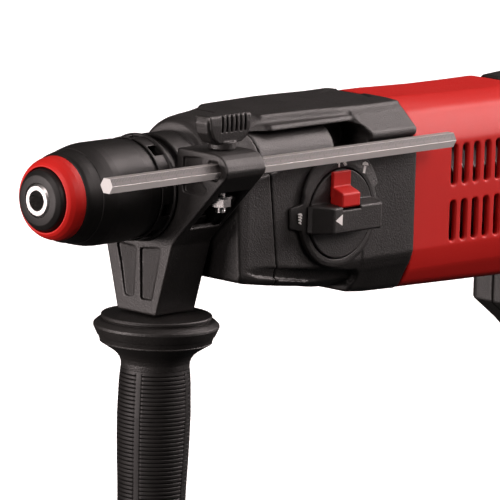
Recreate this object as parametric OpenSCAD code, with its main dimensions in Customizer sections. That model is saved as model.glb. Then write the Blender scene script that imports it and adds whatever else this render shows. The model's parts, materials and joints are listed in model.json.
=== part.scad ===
// Rotary hammer with an SDS-plus chuck, a turnable side handle and a hexagonal depth rod.
// Millimetres. +X points along the tool bore, out of the chuck; +Y is the tool's left side, +Z is up.
// The origin is the centre of the tool bore's mouth.

/* [Chuck] */
// Radius of the tool bore
tool_r = 5; // [4.9:0.1:5.1]
// Depth of the plain bore before the driving keys
plain_bore = 16; // [12:1:18]
// Largest radius of the locking sleeve
sleeve_r = 24.7; // [24.5:0.1:25.5]
// Travel of the locking sleeve
sleeve_travel = 6; // [4:0.5:6]
// Radius of the locking balls
ball_r = 3.5; // [3:0.1:3.5]

/* [Gear case] */
// Radius of the neck that carries the side handle
neck_r = 22.7; // [22:0.1:22.8]
// Half width of the gear case
case_half_w = 38; // [37:0.5:40]
// Wall thickness of the cast and moulded shells
wall = 3; // [2.5:0.1:3.2]
// Face where the gear case meets the motor housing, behind the mouth
case_back = 221; // [220:1:223]

/* [Drive] */
// Gear module
gear_m = 1; // [0.9:0.05:1]
// Teeth on the motor pinion
motor_teeth = 8; // [8:1:8]
// Teeth on the intermediate gear
middle_teeth = 28; // [28:1:28]
// Teeth on the intermediate pinion
pinion_teeth = 12; // [12:1:12]
// Teeth on the spindle gear
spindle_teeth = 52; // [52:1:52]
// Outer radius of the spindle barrel
barrel_r = 15; // [14.8:0.1:15]
// Bore of the spindle barrel, where the piston slides
cylinder_r = 12; // [11.5:0.1:12]
// Bore of the hollow piston, where the striker slides
striker_bore_r = 9; // [8.5:0.1:9]
// Radial gap of the running fits
fit = 0.05; // [0.02:0.01:0.1]

/* [Mode selector] */
// Radius of the selector disc
knob_r = 21.8; // [20:0.1:21.8]
// Length of the selector's finger bar at its outer face
knob_bar = 34; // [30:1:35]

/* [Side handle] */
// Distance of the handle's grip axis behind the mouth
grip_back = 82; // [82:0.5:83]
// Radius of the grip's hand flange
flange_r = 30.4; // [28:0.1:31]
// Lowest point of the grip
grip_end = 183; // [150:1:190]
// Radius of the rubber grip sleeve
grip_r = 17.8; // [16:0.1:19]

/* [Depth rod] */
// Width across the flats of the hexagonal rod
rod_af = 7; // [6.5:0.1:7]
// Length of the rod
rod_len = 235; // [180:1:260]

/* [Rear handle] */
// Half thickness of the handle halves
handle_half = 17; // [15:0.5:19]

/* [Hidden] */
$fn = 96;
eps = 0.01;

BLACK = [0.13, 0.12, 0.12];
RED = [0.72, 0.10, 0.09];
RUBBER = [0.08, 0.08, 0.08];
STEEL = [0.72, 0.72, 0.74];
DARK_STEEL = [0.42, 0.42, 0.44];
ALLOY = [0.78, 0.79, 0.80];
COPPER = [0.72, 0.42, 0.22];
CARBON = [0.2, 0.2, 0.21];

// Shaft heights: the spindle lies on z = 0, the intermediate shaft and the motor shaft below it
middle_z = -(pinion_teeth + spindle_teeth) * gear_m / 2;
motor_z = middle_z + (motor_teeth + middle_teeth) * gear_m / 2;

// Stations along the tool, all behind the mouth
sleeve_front = -13.2;
sleeve_rib = -22;
sleeve_full = -33;
sleeve_step = -52;
sleeve_back = -59.5;
sleeve_tail_r = sleeve_r - 0.7;
ring_front = -58.8;
neck_front = -67.7;
neck_back = -89;
nose_back = -101;
bracket_front = -68;
bracket_back = -95;
boss_back = -96;
housing_back = -322;
ball_x = -33;
ball_y = 7.2;
wobble_x = -190;

// Rod, clamp screw and selector places
rod_y = 48.5;
rod_z = 14;
rod_front = 2;
clamp_y = 40.6;
clamp_x = -grip_back;
knob_x = -165;
button_x = -163;
knob_z = -17;
case_bolts = [[26, 18], [-26, 18], [27, -48], [-27, -48]];
handle_bolts = [[-336, 22], [-389, 12], [-389, -84], [-336, -84]];

// ---------- Helpers ----------

// Round bar along X between two stations
module xcyl(x0, x1, r, y = 0, z = 0) {
    translate([min(x0, x1), y, z])
        rotate([0, 90, 0])
            cylinder(r = r, h = abs(x1 - x0));
}

// Cone along X from radius r0 at x0 to r1 at x1, where x0 < x1
module xcone(x0, x1, r0, r1, y = 0, z = 0) {
    translate([x0, y, z])
        rotate([0, 90, 0])
            cylinder(r1 = r0, r2 = r1, h = x1 - x0);
}

// Tube along X
module xtube(x0, x1, ro, ri, y = 0, z = 0) {
    difference() {
        xcyl(x0, x1, ro, y, z);
        xcyl(min(x0, x1) - 1, max(x0, x1) + 1, ri, y, z);
    }
}

// Round bar along Y
module ycyl(y0, y1, r, x = 0, z = 0) {
    translate([x, y1, z])
        rotate([90, 0, 0])
            cylinder(r = r, h = y1 - y0);
}

// Round bar along Z
module zcyl(z0, z1, r, x = 0, y = 0) {
    translate([x, y, z0])
        cylinder(r = r, h = z1 - z0);
}

// Body of revolution about the spindle axis; the outline holds [x, radius] points
module turned(outline, z = 0) {
    translate([0, 0, z])
        rotate([0, 90, 0])
            rotate_extrude()
                polygon([for (p = outline) [p[1], p[0]]]);
}

// Outline in the (y, z) plane drawn out along X
module xprism(x0, x1) {
    translate([x0, 0, 0])
        rotate([90, 0, 90])
            linear_extrude(height = x1 - x0)
                children();
}

// Outline in the (x, z) plane drawn out along Y
module yprism(y0, y1) {
    translate([0, y1, 0])
        rotate([90, 0, 0])
            linear_extrude(height = y1 - y0)
                children();
}

// Outline in the (x, y) plane drawn out along Z
module zprism(z0, z1) {
    translate([0, 0, z0])
        linear_extrude(height = z1 - z0)
            children();
}

module box(lo, hi) {
    translate(lo)
        cube(hi - lo);
}

// Straight-flanked spur gear along X with its first tooth towards +Y turned by phase
function gear_outline(n, phase) =
    let (rp = gear_m * n / 2, half = 90 / n * 0.82, ra = rp + 0.85 * gear_m, rf = rp - 1.2 * gear_m)
    [for (i = [0 : n - 1])
        for (c = [[rf, -1.55], [rp, -1], [ra, -0.42], [ra, 0.42], [rp, 1], [rf, 1.55]])
            let (a = phase + 360 * i / n + half * c[1])
                [c[0] * cos(a), c[0] * sin(a)]];

module gear(x0, x1, n, z, phase, bore) {
    difference() {
        translate([0, 0, z])
            xprism(x0, x1)
                polygon(gear_outline(n, phase));
        if (bore > 0)
            xcyl(x0 - 1, x1 + 1, bore, 0, z);
    }
}

// Deep-groove bearing along X: two rings and a row of balls between them
module bearing(x0, x1, ro, ri, z, balls) {
    mid = (ro + ri) / 2;
    gap = (ro - ri) * 0.18;
    xtube(x0, x1, ro, mid + gap, 0, z);
    xtube(x0, x1, mid - gap, ri, 0, z);
    for (i = [0 : balls - 1])
        translate([(x0 + x1) / 2, mid * cos(360 * i / balls), z + mid * sin(360 * i / balls)])
            sphere(r = gap - 0.02, $fn = 32);
}

// Rings of a helical spring drawn as closely stacked turns
module turns(x0, x1, r, wire, n) {
    for (i = [0 : n - 1])
        turned([for (a = [0 : 30 : 330])
            [x0 + (x1 - x0) * i / (n - 1) + wire * cos(a), r + wire * sin(a)]]);
}

// ---------- Gear case and motor housing ----------

// Side outline of the body, shrunk by t
module side_outline(t) {
    polygon([
        [-nose_top_x(), 32.2 - t], [-203, 31.4 - t], [-222, 31.6 - t], [-236, 33.5 - t], [-300, 33.5 - t],
        [housing_back, 32 - t], [housing_back, -66 + t], [-235, -62.8 + t], [-197, -61.1 + t],
        [-181, -59.4 + t], [-151, -53.4 + t], [-105, -46 + t], [-nose_top_x(), -45 + t]]);
}
function nose_top_x() = 101;

// Cross outline of the body in (y, z), shrunk by t
module cross_outline(t) {
    w = case_half_w - t;
    polygon([
        [21 - t / 2, 34 - t], [28 - t, 28.5 - t / 2], [30 - t, 24.5], [w, 10], [w, -42],
        [w - 4, -50], [w - 13, -67 + t], [-w + 13, -67 + t], [-w + 4, -50], [-w, -42],
        [-w, 10], [-30 + t, 24.5], [-28 + t, 28.5 - t / 2], [-21 + t / 2, 34 - t]]);
}

module body_solid(x0, x1, t) {
    intersection() {
        xprism(x0, x1)
            cross_outline(t);
        yprism(-60, 60)
            side_outline(t);
    }
}

// Side of the slanted seam between the two gear-case castings that faces the chuck
module ahead_of_seam() {
    yprism(-70, 70)
        polygon([[-60, 60], [-60, -80], [-140.4, -80], [-109.2, 60]]);
}

// Shallow channels along the upper sides, which the depth rod runs beside
module side_channels() {
    for (s = [1, -1])
        xprism(nose_back - 67, nose_back + 1)
            polygon([[s * 31, 27], [s * 45, 27], [s * 45, 12], [s * 35.5, 12], [s * 33.5, 18]]);
}

module gear_case() {
    difference() {
        union() {
            xcyl(neck_back, neck_front, neck_r);
            xcone(neck_back - 2, neck_back, 27.5, 25.3);
            xcone(nose_back - 3, neck_back - 2, 32.4, 30);
            body_solid(-case_back, nose_back, 0);
            for (b = case_bolts)
                xcyl(-case_back, -204, 4.5, b[0], b[1]);
        }
        body_solid(-case_back - 1, nose_back - wall, wall);
        side_channels();
        xcyl(-120, neck_front + 1, barrel_r + 0.6);
        xcyl(-89.1, neck_front + 1, 20);
        ycyl(20, 60, 6 + fit, knob_x, knob_z);
        for (b = case_bolts) {
            xcyl(-case_back - 1, -200, 2, b[0], b[1]);
            xcyl(-206, -190, 4.2, b[0], b[1]);
        }
    }
    // Web that holds the intermediate shaft's front bearing
    difference() {
        body_solid(-131, -125, wall - 0.5);
        xcyl(-132, -124, 9.5, 0, middle_z);
        xcyl(-132, -124, barrel_r + 0.6);
        box([-132, -60, -20], [-124, 60, 60]);
    }
}

module gear_case_front() {
    color(BLACK)
        intersection() {
            gear_case();
            ahead_of_seam();
        }
}

module gear_case_rear() {
    color(BLACK)
        difference() {
            gear_case();
            ahead_of_seam();
        }
}

// Rear end of the motor housing narrows in plan towards the handle
module plan_outline(t) {
    polygon([
        [-case_back + 1, 60], [-300, 60], [-300, case_half_w - t], [housing_back, 27 - t],
        [housing_back, -27 + t], [-300, -case_half_w + t], [-300, -60], [-case_back + 1, -60]]);
}

module vent_slots() {
    for (i = [0 : 5])
        for (z = [-40, -12])
            box([-252 - 8 * i, -60, z], [-248.5 - 8 * i, 60, z + 20]);
}

module motor_housing() {
    color(RED) {
        difference() {
            intersection() {
                body_solid(housing_back, -case_back, 0);
                zprism(-90, 60)
                    plan_outline(0);
            }
            intersection() {
                body_solid(housing_back + wall, -case_back + 1, wall);
                zprism(-90, 60)
                    plan_outline(wall);
            }
            vent_slots();
            for (b = case_bolts)
                xcyl(-240, -case_back + 1, 2, b[0], b[1]);
            xcyl(housing_back - 1, housing_back + wall + 1, 7, 0, motor_z);
        }
        for (b = case_bolts)
            xtube(-243, -case_back, 4.5, 2, b[0], b[1]);
        xtube(housing_back + wall, -310.5, 13, 9.5, 0, motor_z);
        for (s = [1, -1])
            xprism(-290, -250)
                polygon([[s * 33.3, motor_z - 3], [s * 36, motor_z - 3], [s * 36, motor_z + 3],
                    [s * 33.3, motor_z + 3]]);
    }
}

// ---------- Rear handle ----------

module handle_outline() {
    polygon([
        [housing_back, 31], [-352, 33], [-378, 30], [-394, 21], [-404, 6], [-408, -12], [-407, -40],
        [-403, -70], [-399, -92], [-392, -106], [-381, -115], [-368, -117], [-354, -110],
        [-338, -96], [housing_back, -84]]);
}

module finger_loop() {
    polygon([
        [-328, -6], [-345, -4], [-362, -6], [-372, -13], [-377, -24], [-376, -50], [-373, -72],
        [-368, -86], [-360, -90], [-350, -88], [-338, -78], [-330, -66], [-326, -50], [-325, -20]]);
}

// Soft cover over the back of the grip
module cover_outline() {
    difference() {
        intersection() {
            handle_outline();
            polygon([[-350, 16], [-450, 16], [-450, -98], [-350, -98]]);
        }
        translate([3, 0])
            handle_outline();
    }
}

module handle_half(s) {
    y0 = s > 0 ? 0 : -handle_half;
    y1 = s > 0 ? handle_half : 0;
    c0 = s > 0 ? -1 : -handle_half + wall;
    c1 = s > 0 ? handle_half - wall : 1;
    difference() {
        union() {
            difference() {
                yprism(y0, y1)
                    difference() {
                        handle_outline();
                        finger_loop();
                        cover_outline();
                    }
                yprism(c0, c1)
                    offset(delta = -wall)
                        difference() {
                            handle_outline();
                            finger_loop();
                            cover_outline();
                        }
            }
            for (b = handle_bolts)
                ycyl(y0, y1, 5, b[0], b[1]);
        }
        for (b = handle_bolts) {
            ycyl(-30, 30, 2, b[0], b[1]);
            ycyl(s > 0 ? 13 : -30, s > 0 ? 30 : -13, 3.6, b[0], b[1]);
        }
        box([-381.5, -7.3, -46.3], [-360, 7.3, -11.7]);
        zcyl(-130, -90, 8, -382);
        ycyl(5, 30, 5.3, -388, -30);
        ycyl(5, 30, 5.05, -346, 12);
    }
}

module handle_left() {
    color(BLACK)
        handle_half(1);
}

module handle_right() {
    color(BLACK)
        handle_half(-1);
}

module grip_cover() {
    color(RUBBER)
        yprism(-handle_half, handle_half)
            cover_outline();
}

// ---------- Fixed small parts ----------

module index_ring() {
    color(BLACK)
        difference() {
            union() {
                xcyl(-67.7, ring_front, 25);
                xcyl(-67.7, -66.2, 26);
            }
            xcyl(-66.2, ring_front + 1, sleeve_tail_r + 0.3);
            xcyl(-70, -60, 21);
            for (a = [0 : 36 : 324])
                rotate([a, 0, 0])
                    box([-66, 20, -1.8], [-61.8, 30, 1.8]);
        }
}

module mode_ring() {
    color(BLACK)
        difference() {
            union() {
                ycyl(case_half_w, 40.2, 26.5, knob_x, knob_z);
                box([-142, case_half_w, -22.5], [-132, 40.2, -11.5]);
                box([-188, case_half_w, -3], [-160.3, 40.2, 8.5]);
            }
            ycyl(case_half_w - 1, 42, knob_r + 0.5, knob_x, knob_z);
        }
}

module case_screws() {
    color(DARK_STEEL)
        for (b = case_bolts) {
            xcyl(-238, -206, 1.9, b[0], b[1]);
            xcyl(-206, -202, 3.8, b[0], b[1]);
        }
}

module handle_screws() {
    color(DARK_STEEL)
        for (b = handle_bolts) {
            ycyl(-12, 13, 1.9, b[0], b[1]);
            ycyl(13, 15.5, 3.4, b[0], b[1]);
        }
}

module stator() {
    color(DARK_STEEL)
        difference() {
            xcyl(-289, -249, 33, 0, motor_z);
            xcyl(-290, -248, 20, 0, motor_z);
            for (s = [1, -1])
                box([-290, -12, motor_z + s * 23 - 2], [-248, 12, motor_z + s * 23 + 2]);
        }
}

module brush_holders() {
    color("goldenrod")
        for (s = [1, -1])
            difference() {
                box([-305, min(s * 14, s * 31.8), motor_z - 5], [-297, max(s * 14, s * 31.8), motor_z + 5]);
                box([-304, min(s * 13, s * 31.2), motor_z - 4], [-298, max(s * 13, s * 31.2), motor_z + 4]);
            }
}

module brushes() {
    color(CARBON)
        for (s = [1, -1])
            box([-303.9, min(s * 12.3, s * 24), motor_z - 3.9], [-298.1, max(s * 12.3, s * 24), motor_z + 3.9]);
}

module brush_springs() {
    color(STEEL)
        for (s = [1, -1])
            for (i = [0 : 4])
                translate([-301, s * (24.6 + 1.4 * i), motor_z])
                    rotate([90, 0, 0])
                        rotate_extrude()
                            translate([2.2, 0])
                                circle(r = 0.5, $fn = 16);
}

module spindle_bearing() {
    color(STEEL)
        bearing(-89, -76, 20, barrel_r + fit, 0, 22);
}

module shaft_bearings() {
    color(STEEL) {
        bearing(-131, -125, 9.5, 4 + fit, middle_z, 9);
        bearing(-223, -217, 8.5, 5 + fit, middle_z, 11);
    }
}

module motor_bearings() {
    color(STEEL) {
        bearing(-234, -226, 11, 4 + fit, motor_z, 8);
        bearing(-318, -311, 9.5, 4 + fit, motor_z, 8);
    }
}

module shaft_seal() {
    color(RUBBER)
        difference() {
            xcyl(-75, -69, 20);
            xcyl(-76, -68, barrel_r + 0.3);
        }
}

module bearing_plate() {
    color(ALLOY)
        difference() {
            union() {
                body_solid(-228.5, -224, wall + 0.3);
                xcyl(-225, -217, 11.5, 0, middle_z);
                xcyl(-234.5, -226, 14, 0, motor_z);
            }
            xcyl(-223, -216, 8.5, 0, middle_z);
            xcyl(-226, -216, 5.5, 0, middle_z);
            xcyl(-236, -226, 11, 0, motor_z);
            xcyl(-227, -215, 5, 0, motor_z);
            for (b = case_bolts)
                xcyl(-230, -222, 4.7, b[0], b[1]);
        }
}

module air_baffle() {
    color(BLACK)
        difference() {
            xcyl(-247.5, -236, 34, 0, motor_z);
            xcyl(-248, -235, 28.5, 0, motor_z);
            for (b = case_bolts)
                xcyl(-250, -230, 5, b[0], b[1]);
            box([-250, -60, motor_z + 25], [-230, 60, 60]);
        }
}

module switch_module() {
    color(CARBON)
        difference() {
            box([-398.5, -10, -52], [-389.5, 10, -4]);
            ycyl(3, 20, 5.4, -388, -30);
        }
}

// Rubber sleeve in the foot of the handle for a mains lead
module cable_gland() {
    color(RUBBER)
        difference() {
            zcyl(-122, -100, 7.9, -382);
            zcyl(-123, -99, 4, -382);
        }
}

// ---------- Spindle and chuck ----------

module spindle() {
    color(STEEL)
        difference() {
            union() {
                difference() {
                    turned([
                        [0, 0], [0, 7], [-1, 8], [-10, 8], [-10, 9.5], [-59, 9.5], [-60, 11],
                        [-62, barrel_r], [-178, barrel_r], [-178, 0]]);
                    xcyl(-plain_bore, 1, tool_r);
                    xcyl(-77, -plain_bore, tool_r + 0.25);
                    xcyl(-109, -76, 7.5);
                    xcone(-114, -108, cylinder_r, 7.5);
                    xcyl(-180, -113, cylinder_r);
                }
                // Driving keys that run in the tool's open slots
                for (s = [1, -1])
                    box([-45, -1, min(s * 4, s * 5.7)], [-plain_bore - 2, 1, max(s * 4, s * 5.7)]);
            }
            ycyl(-12, 12, ball_r + 0.1, ball_x);
        }
}

module spindle_gear() {
    color(DARK_STEEL)
        gear(-150, -138, spindle_teeth, 0, 0, barrel_r);
}

module dust_cap() {
    color(RUBBER)
        turned([[-0.4, 8.3], [-0.8, 12], [-2.4, 14.2], [-5, 15], [-12, 15], [-12, 9.6], [-9.9, 9.6],
            [-9.9, 8], [-1.2, 8]]);
}

module sleeve_spring() {
    color(STEEL)
        turns(-57, -40.5, 12.4, 0.8, 6);
}

module locking_sleeve() {
    color(BLACK)
        turned([
            [sleeve_front, 20.2], [-15, 21.3], [-18, 21.9], [sleeve_rib, 22.5], [sleeve_rib, 22.9],
            [-26, 23.8], [-29.5, 24.5], [sleeve_full, sleeve_r], [sleeve_step, sleeve_r],
            [sleeve_step, sleeve_tail_r], [sleeve_back, sleeve_tail_r], [sleeve_back, 21.5],
            [-39, 21.5], [-39, 10.85], [-34.5, 10.85], [-26, 13.4], [-26, 18], [sleeve_front, 18]]);
}

module sleeve_cap() {
    color(RED)
        turned([
            [-4.5, 15.6], [-4.3, 16.2], [-5.4, 17.6], [-7.5, 18.9], [-10, 19.8], [sleeve_front, 20.2],
            [sleeve_front, 17.9], [-20, 17.9], [-20, 15.6]]);
}

module lock_ball(s) {
    color(STEEL)
        translate([ball_x, s * ball_y, 0])
            sphere(r = ball_r);
}

module lock_ball_left() {
    lock_ball(1);
}

module lock_ball_right() {
    lock_ball(-1);
}

// ---------- Impact mechanism ----------

module anvil() {
    color(DARK_STEEL)
        turned([
            [-78, 0], [-78, 4], [-79, 4.8], [-84, 4.8], [-85, 7.45], [-95, 7.45], [-95, 6.1],
            [-97.4, 6.1], [-97.4, 7.45], [-103, 7.45], [-104, 6], [-131, 6], [-131, 0]]);
}

module o_ring(x, major, minor) {
    color(RUBBER)
        turned([for (a = [0 : 15 : 345]) [x + minor * cos(a), major + minor * sin(a)]]);
}

module anvil_seal() {
    o_ring(-96.2, 6.8, 0.6);
}

module piston() {
    color(ALLOY)
        difference() {
            xcyl(-197, -130, cylinder_r - fit);
            xcyl(-181, -129, striker_bore_r);
            ycyl(-15, 15, 5, wobble_x);
            box([wobble_x - 5.3, -4.6, -14], [wobble_x + 5.3, 4.6, 0]);
        }
}

module wrist_pin() {
    color(STEEL)
        difference() {
            ycyl(-11, 11, 5, wobble_x);
            zcyl(-6, 6, 3.6, wobble_x);
        }
}

module striker() {
    color(DARK_STEEL)
        turned([
            [-140, 0], [-140, 7.5], [-141.5, striker_bore_r - fit], [-152, striker_bore_r - fit],
            [-152, 7], [-155, 7], [-155, striker_bore_r - fit], [-164, striker_bore_r - fit], [-164, 0]]);
}

module striker_ring() {
    o_ring(-153.5, 7.95, 0.9);
}

module intermediate_shaft() {
    color(DARK_STEEL) {
        gear(-152, -136, pinion_teeth, middle_z, 15, 0);
        xcyl(-136, -122, 4, 0, middle_z);
        xcyl(-158, -152, 7, 0, middle_z);
        xcyl(-215, -158, 8, 0, middle_z);
        xcyl(-224, -215, 5, 0, middle_z);
    }
}

module intermediate_gear() {
    color(DARK_STEEL)
        gear(-215, -207, middle_teeth, middle_z, 0, 8);
}

// Inner race of the wobble bearing with its balls on a circle tilted by ten degrees
module wobble_hub() {
    color(STEEL) {
        difference() {
            intersection() {
                translate([wobble_x, 0, middle_z])
                    sphere(r = 12.4);
                xcyl(wobble_x - 8, wobble_x + 8, 13, 0, middle_z);
            }
            xcyl(wobble_x - 9, wobble_x + 9, 8, 0, middle_z);
        }
        translate([wobble_x, 0, middle_z])
            rotate([0, 0, 10])
                for (i = [0 : 15])
                    rotate([22.5 * i, 0, 0])
                        translate([0, 13.75, 0])
                            sphere(r = 1.3, $fn = 32);
    }
}

module wobble_ring() {
    color(STEEL)
        difference() {
            union() {
                xcyl(wobble_x - 6, wobble_x + 6, 18.5, 0, middle_z);
                zcyl(middle_z + 15, 0, 2.2, wobble_x);
                translate([wobble_x, 0, 0])
                    sphere(r = 3.5);
            }
            translate([wobble_x, 0, middle_z])
                sphere(r = 15.2);
        }
}

module drive_clutch() {
    color(DARK_STEEL)
        difference() {
            xcyl(-172, -159, 11.5, 0, middle_z);
            xcyl(-173, -158, 8 + fit, 0, middle_z);
            xtube(-167.5, -163.5, 12, 9.8, 0, middle_z);
        }
}

// ---------- Motor ----------

module armature_shaft() {
    color(STEEL) {
        gear(-217, -206, motor_teeth, motor_z, 22.5, 0);
        xcyl(-319, -217, 4, 0, motor_z);
    }
}

module armature_core() {
    color(DARK_STEEL)
        difference() {
            xcyl(-289, -249, 19, 0, motor_z);
            xcyl(-290, -248, 4, 0, motor_z);
            for (i = [0 : 11])
                translate([0, 0, motor_z])
                    rotate([30 * i, 0, 0])
                        box([-290, 15, -1.2], [-248, 20, 1.2]);
        }
}

module commutator() {
    color(COPPER)
        difference() {
            xcyl(-307, -295, 12, 0, motor_z);
            xcyl(-308, -294, 4, 0, motor_z);
            for (i = [0 : 11])
                translate([0, 0, motor_z])
                    rotate([30 * i, 0, 0])
                        box([-308, 10.5, -0.3], [-294, 13, 0.3]);
        }
}

module fan() {
    color(BLACK)
        difference() {
            union() {
                xcyl(-239, -237, 27, 0, motor_z);
                xcyl(-246, -238, 8, 0, motor_z);
                for (i = [0 : 10])
                    translate([0, 0, motor_z])
                        rotate([360 / 11 * i, 0, 0])
                            box([-246, 7, -0.8], [-238, 26.5, 0.8]);
            }
            xcyl(-250, -235, 4, 0, motor_z);
        }
}

module windings() {
    color(COPPER) {
        xtube(-249, -246.5, 17, 8.5, 0, motor_z);
        xtube(-293.5, -289, 17, 5, 0, motor_z);
    }
}

// ---------- Mode selector ----------

module mode_knob() {
    color(BLACK)
        difference() {
            union() {
                ycyl(38.3, 41, knob_r, knob_x, knob_z);
                zprism(-24.6, -12)
                    polygon([
                        [knob_x + 23, 40.5], [knob_x + 15, 50], [knob_x + 15 - knob_bar, 50],
                        [knob_x - 21.5, 40.5]]);
                ycyl(30, 39, 6, knob_x, knob_z);
            }
            box([button_x - 6.4, 41, -13.5], [button_x + 6.4, 51, -11]);
            ycyl(29, 36, 3, knob_x, knob_z);
        }
}

module selector_pin() {
    color(STEEL) {
        ycyl(22, 36, 3, knob_x, knob_z);
        ycyl(18, 22, 6, knob_x, knob_z);
        ycyl(14, 18.5, 2, knob_x, knob_z - 3.5);
    }
}

module lock_button() {
    color(RED) {
        box([button_x - 6.1, 41.05, -6], [button_x + 6.1, 42.8, 4.2]);
        box([button_x - 6.1, 41.05, -12.4], [button_x + 6.1, 49.7, -4.6]);
    }
}

// ---------- Switch controls ----------

module trigger() {
    color(RED)
        yprism(-7, 7)
            polygon([
                [-365, -12], [-381, -12], [-381, -46], [-366, -46], [-363, -40], [-367.5, -28], [-366.5, -18]]);
}

module lock_on_button() {
    color(BLACK)
        ycyl(9.5, handle_half + 2.5, 5, -388, -30);
}

module direction_lever() {
    color(BLACK) {
        ycyl(6, handle_half + 1, 5, -346, 12);
        ycyl(handle_half + 0.3, handle_half + 2.5, 8, -346, 12);
        box([-349, handle_half + 0.4, 12], [-343, handle_half + 4.5, 24]);
    }
}

// ---------- Side handle ----------

// Front view of the bracket in (y, z)
module bracket_outline() {
    difference() {
        union() {
            polygon([
                [24.4, 22.4], [51.5, 22.4], [55.5, 20.6], [58, 17], [58.2, 13.4], [26.8, -20.7],
                [22.8, -25.4], [13, -60.9], [-13, -60.9], [-22.8, -25.4], [-29, -14], [-29, -3],
                [0, -3], [24.4, 8]]);
        }
        circle(r = 25.5);
    }
}

module leg_cavity() {
    difference() {
        offset(delta = -3)
            bracket_outline();
        translate([rod_y, rod_z])
            circle(r = 9);
        translate([30, 0.3])
            square([50, 40]);
        translate([-60, -17])
            square([50, 60]);
        translate([-15, -60.9])
            square([30, 9]);
    }
}

module handle_bracket() {
    hex_r = (rod_af + 0.3) / 2 / cos(30);
    color(BLACK)
        difference() {
            union() {
                xprism(bracket_back, bracket_front)
                    bracket_outline();
                xcyl(boss_back, bracket_front, 8.3, rod_y, rod_z);
                intersection() {
                    xtube(-74.5, bracket_front, 26, neck_r + 0.3);
                    box([-80, -30, -30], [-60, 30, -5]);
                }
            }
            xprism(bracket_back - 1, bracket_front - 3)
                leg_cavity();
            // Room for the gear case's nose, the strap and the bolt's head
            xcyl(boss_back - 5, neck_back + 0.4, 33.4);
            xcyl(neck_back + 0.4, -74.6, 26);
            box([neck_back + 0.4, -18.3, -36], [-74.6, 18.3, -15]);
            box([-90.5, -9, -37], [-73.5, 9, -25]);
            // Through hexagon for the rod, with the slot that lets the jaws close on it
            translate([boss_back - 1, rod_y, rod_z])
                rotate([90, 0, 90])
                    linear_extrude(height = 50)
                        circle(r = hex_r, $fn = 6);
            box([boss_back - 1, 24, rod_z - 0.6], [bracket_front + 1, rod_y, rod_z + 0.6]);
            zcyl(-30, 30, 2.7, clamp_x, clamp_y);
            zcyl(-70, -40, 4.4, -grip_back);
            // Window in the slanted side
            translate([-85, 40, -6])
                rotate([47, 0, 0])
                    cube([17.6, 22, 20], center = true);
            zcyl(-6, 0.3, 7, clamp_x, clamp_y);
        }
}

// Steel strap round the neck, pulled down by the bolt in the grip
module clamp_band() {
    color(BLACK)
        difference() {
            union() {
                difference() {
                    xtube(-88, -75, 25.2, neck_r + 0.3);
                    box([-90, -17.4, -30], [-70, 17.4, 0]);
                }
                for (s = [1, -1])
                    box([-88, min(s * 15.4, s * 17.6), -33], [-75, max(s * 15.4, s * 17.6), -17.2]);
                box([-88, -17.6, -35], [-75, 17.6, -32]);
            }
            xcyl(-95, -70, neck_r + 0.3);
            zcyl(-40, -30, 4.1, -grip_back);
        }
}

module band_bolt() {
    color(STEEL) {
        translate([-grip_back, 0, -31.9])
            rotate([0, 0, 30])
                cylinder(r = 7.5, h = 5, $fn = 6);
        zcyl(-104, -31.8, 4, -grip_back);
    }
}

// Hard core of the grip with its domed head and hand flange; it turns on the bolt's thread
module grip_core() {
    color(BLACK)
        difference() {
            translate([-grip_back, 0, 0])
                rotate_extrude()
                    polygon([
                        [0, -61.3], [9, -61.5], [18, -62.1], [26.7, -63.1], [26.7, -64.6], [26, -65.4],
                        [28.5, -65.9], [flange_r, -67.6], [flange_r, -68.8], [28.4, -73], [26.9, -76],
                        [23.5, -78.5], [18.7, -82], [16.5, -86], [16.5, -89], [12, -89],
                        [12, -grip_end + 12], [0, -grip_end + 12]]);
            zcyl(-106, -60, 4 + fit, -grip_back);
        }
}

module grip_sleeve() {
    color(RUBBER)
        translate([-grip_back, 0, 0])
            rotate_extrude()
                polygon([
                    [12, -89], [16.9, -89], [17.4, -96], [grip_r, -111], [grip_r - 0.6, -135],
                    [grip_r - 1.4, -156], [grip_r - 0.4, -166], [20.5, -172], [21.6, -177],
                    [20.5, -181.5], [17, -grip_end], [0, -grip_end], [0, -grip_end + 12],
                    [12, -grip_end + 12]]);
}

module wing_knob() {
    color(BLACK)
        zcyl(22.7, 26.6, 6.5, clamp_x, clamp_y);
    color(BLACK)
        yprism(clamp_y - 5, clamp_y + 5)
            polygon([
                [clamp_x - 14.4, 37.6], [clamp_x - 13, 39.8], [clamp_x + 13, 39.8], [clamp_x + 14.4, 37.6],
                [clamp_x + 14, 31], [clamp_x + 11, 27.4], [clamp_x + 7, 25.7], [clamp_x - 7, 25.7],
                [clamp_x - 11, 27.4], [clamp_x - 14, 31]]);
    color(STEEL)
        zcyl(-8, 22.8, 2.5, clamp_x, clamp_y);
}

module clamp_nut() {
    color(STEEL)
        difference() {
            union() {
                translate([clamp_x, clamp_y, -5])
                    cylinder(r = 5, h = 4, $fn = 6);
                zcyl(-1.1, 0, 5.4, clamp_x, clamp_y);
            }
            zcyl(-6, 1, 2.5 + fit, clamp_x, clamp_y);
        }
}

module depth_rod() {
    color(STEEL)
        translate([rod_front - rod_len, rod_y, rod_z])
            rotate([90, 0, 90])
                linear_extrude(height = rod_len)
                    circle(r = rod_af / 2 / cos(30), $fn = 6);
}

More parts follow.
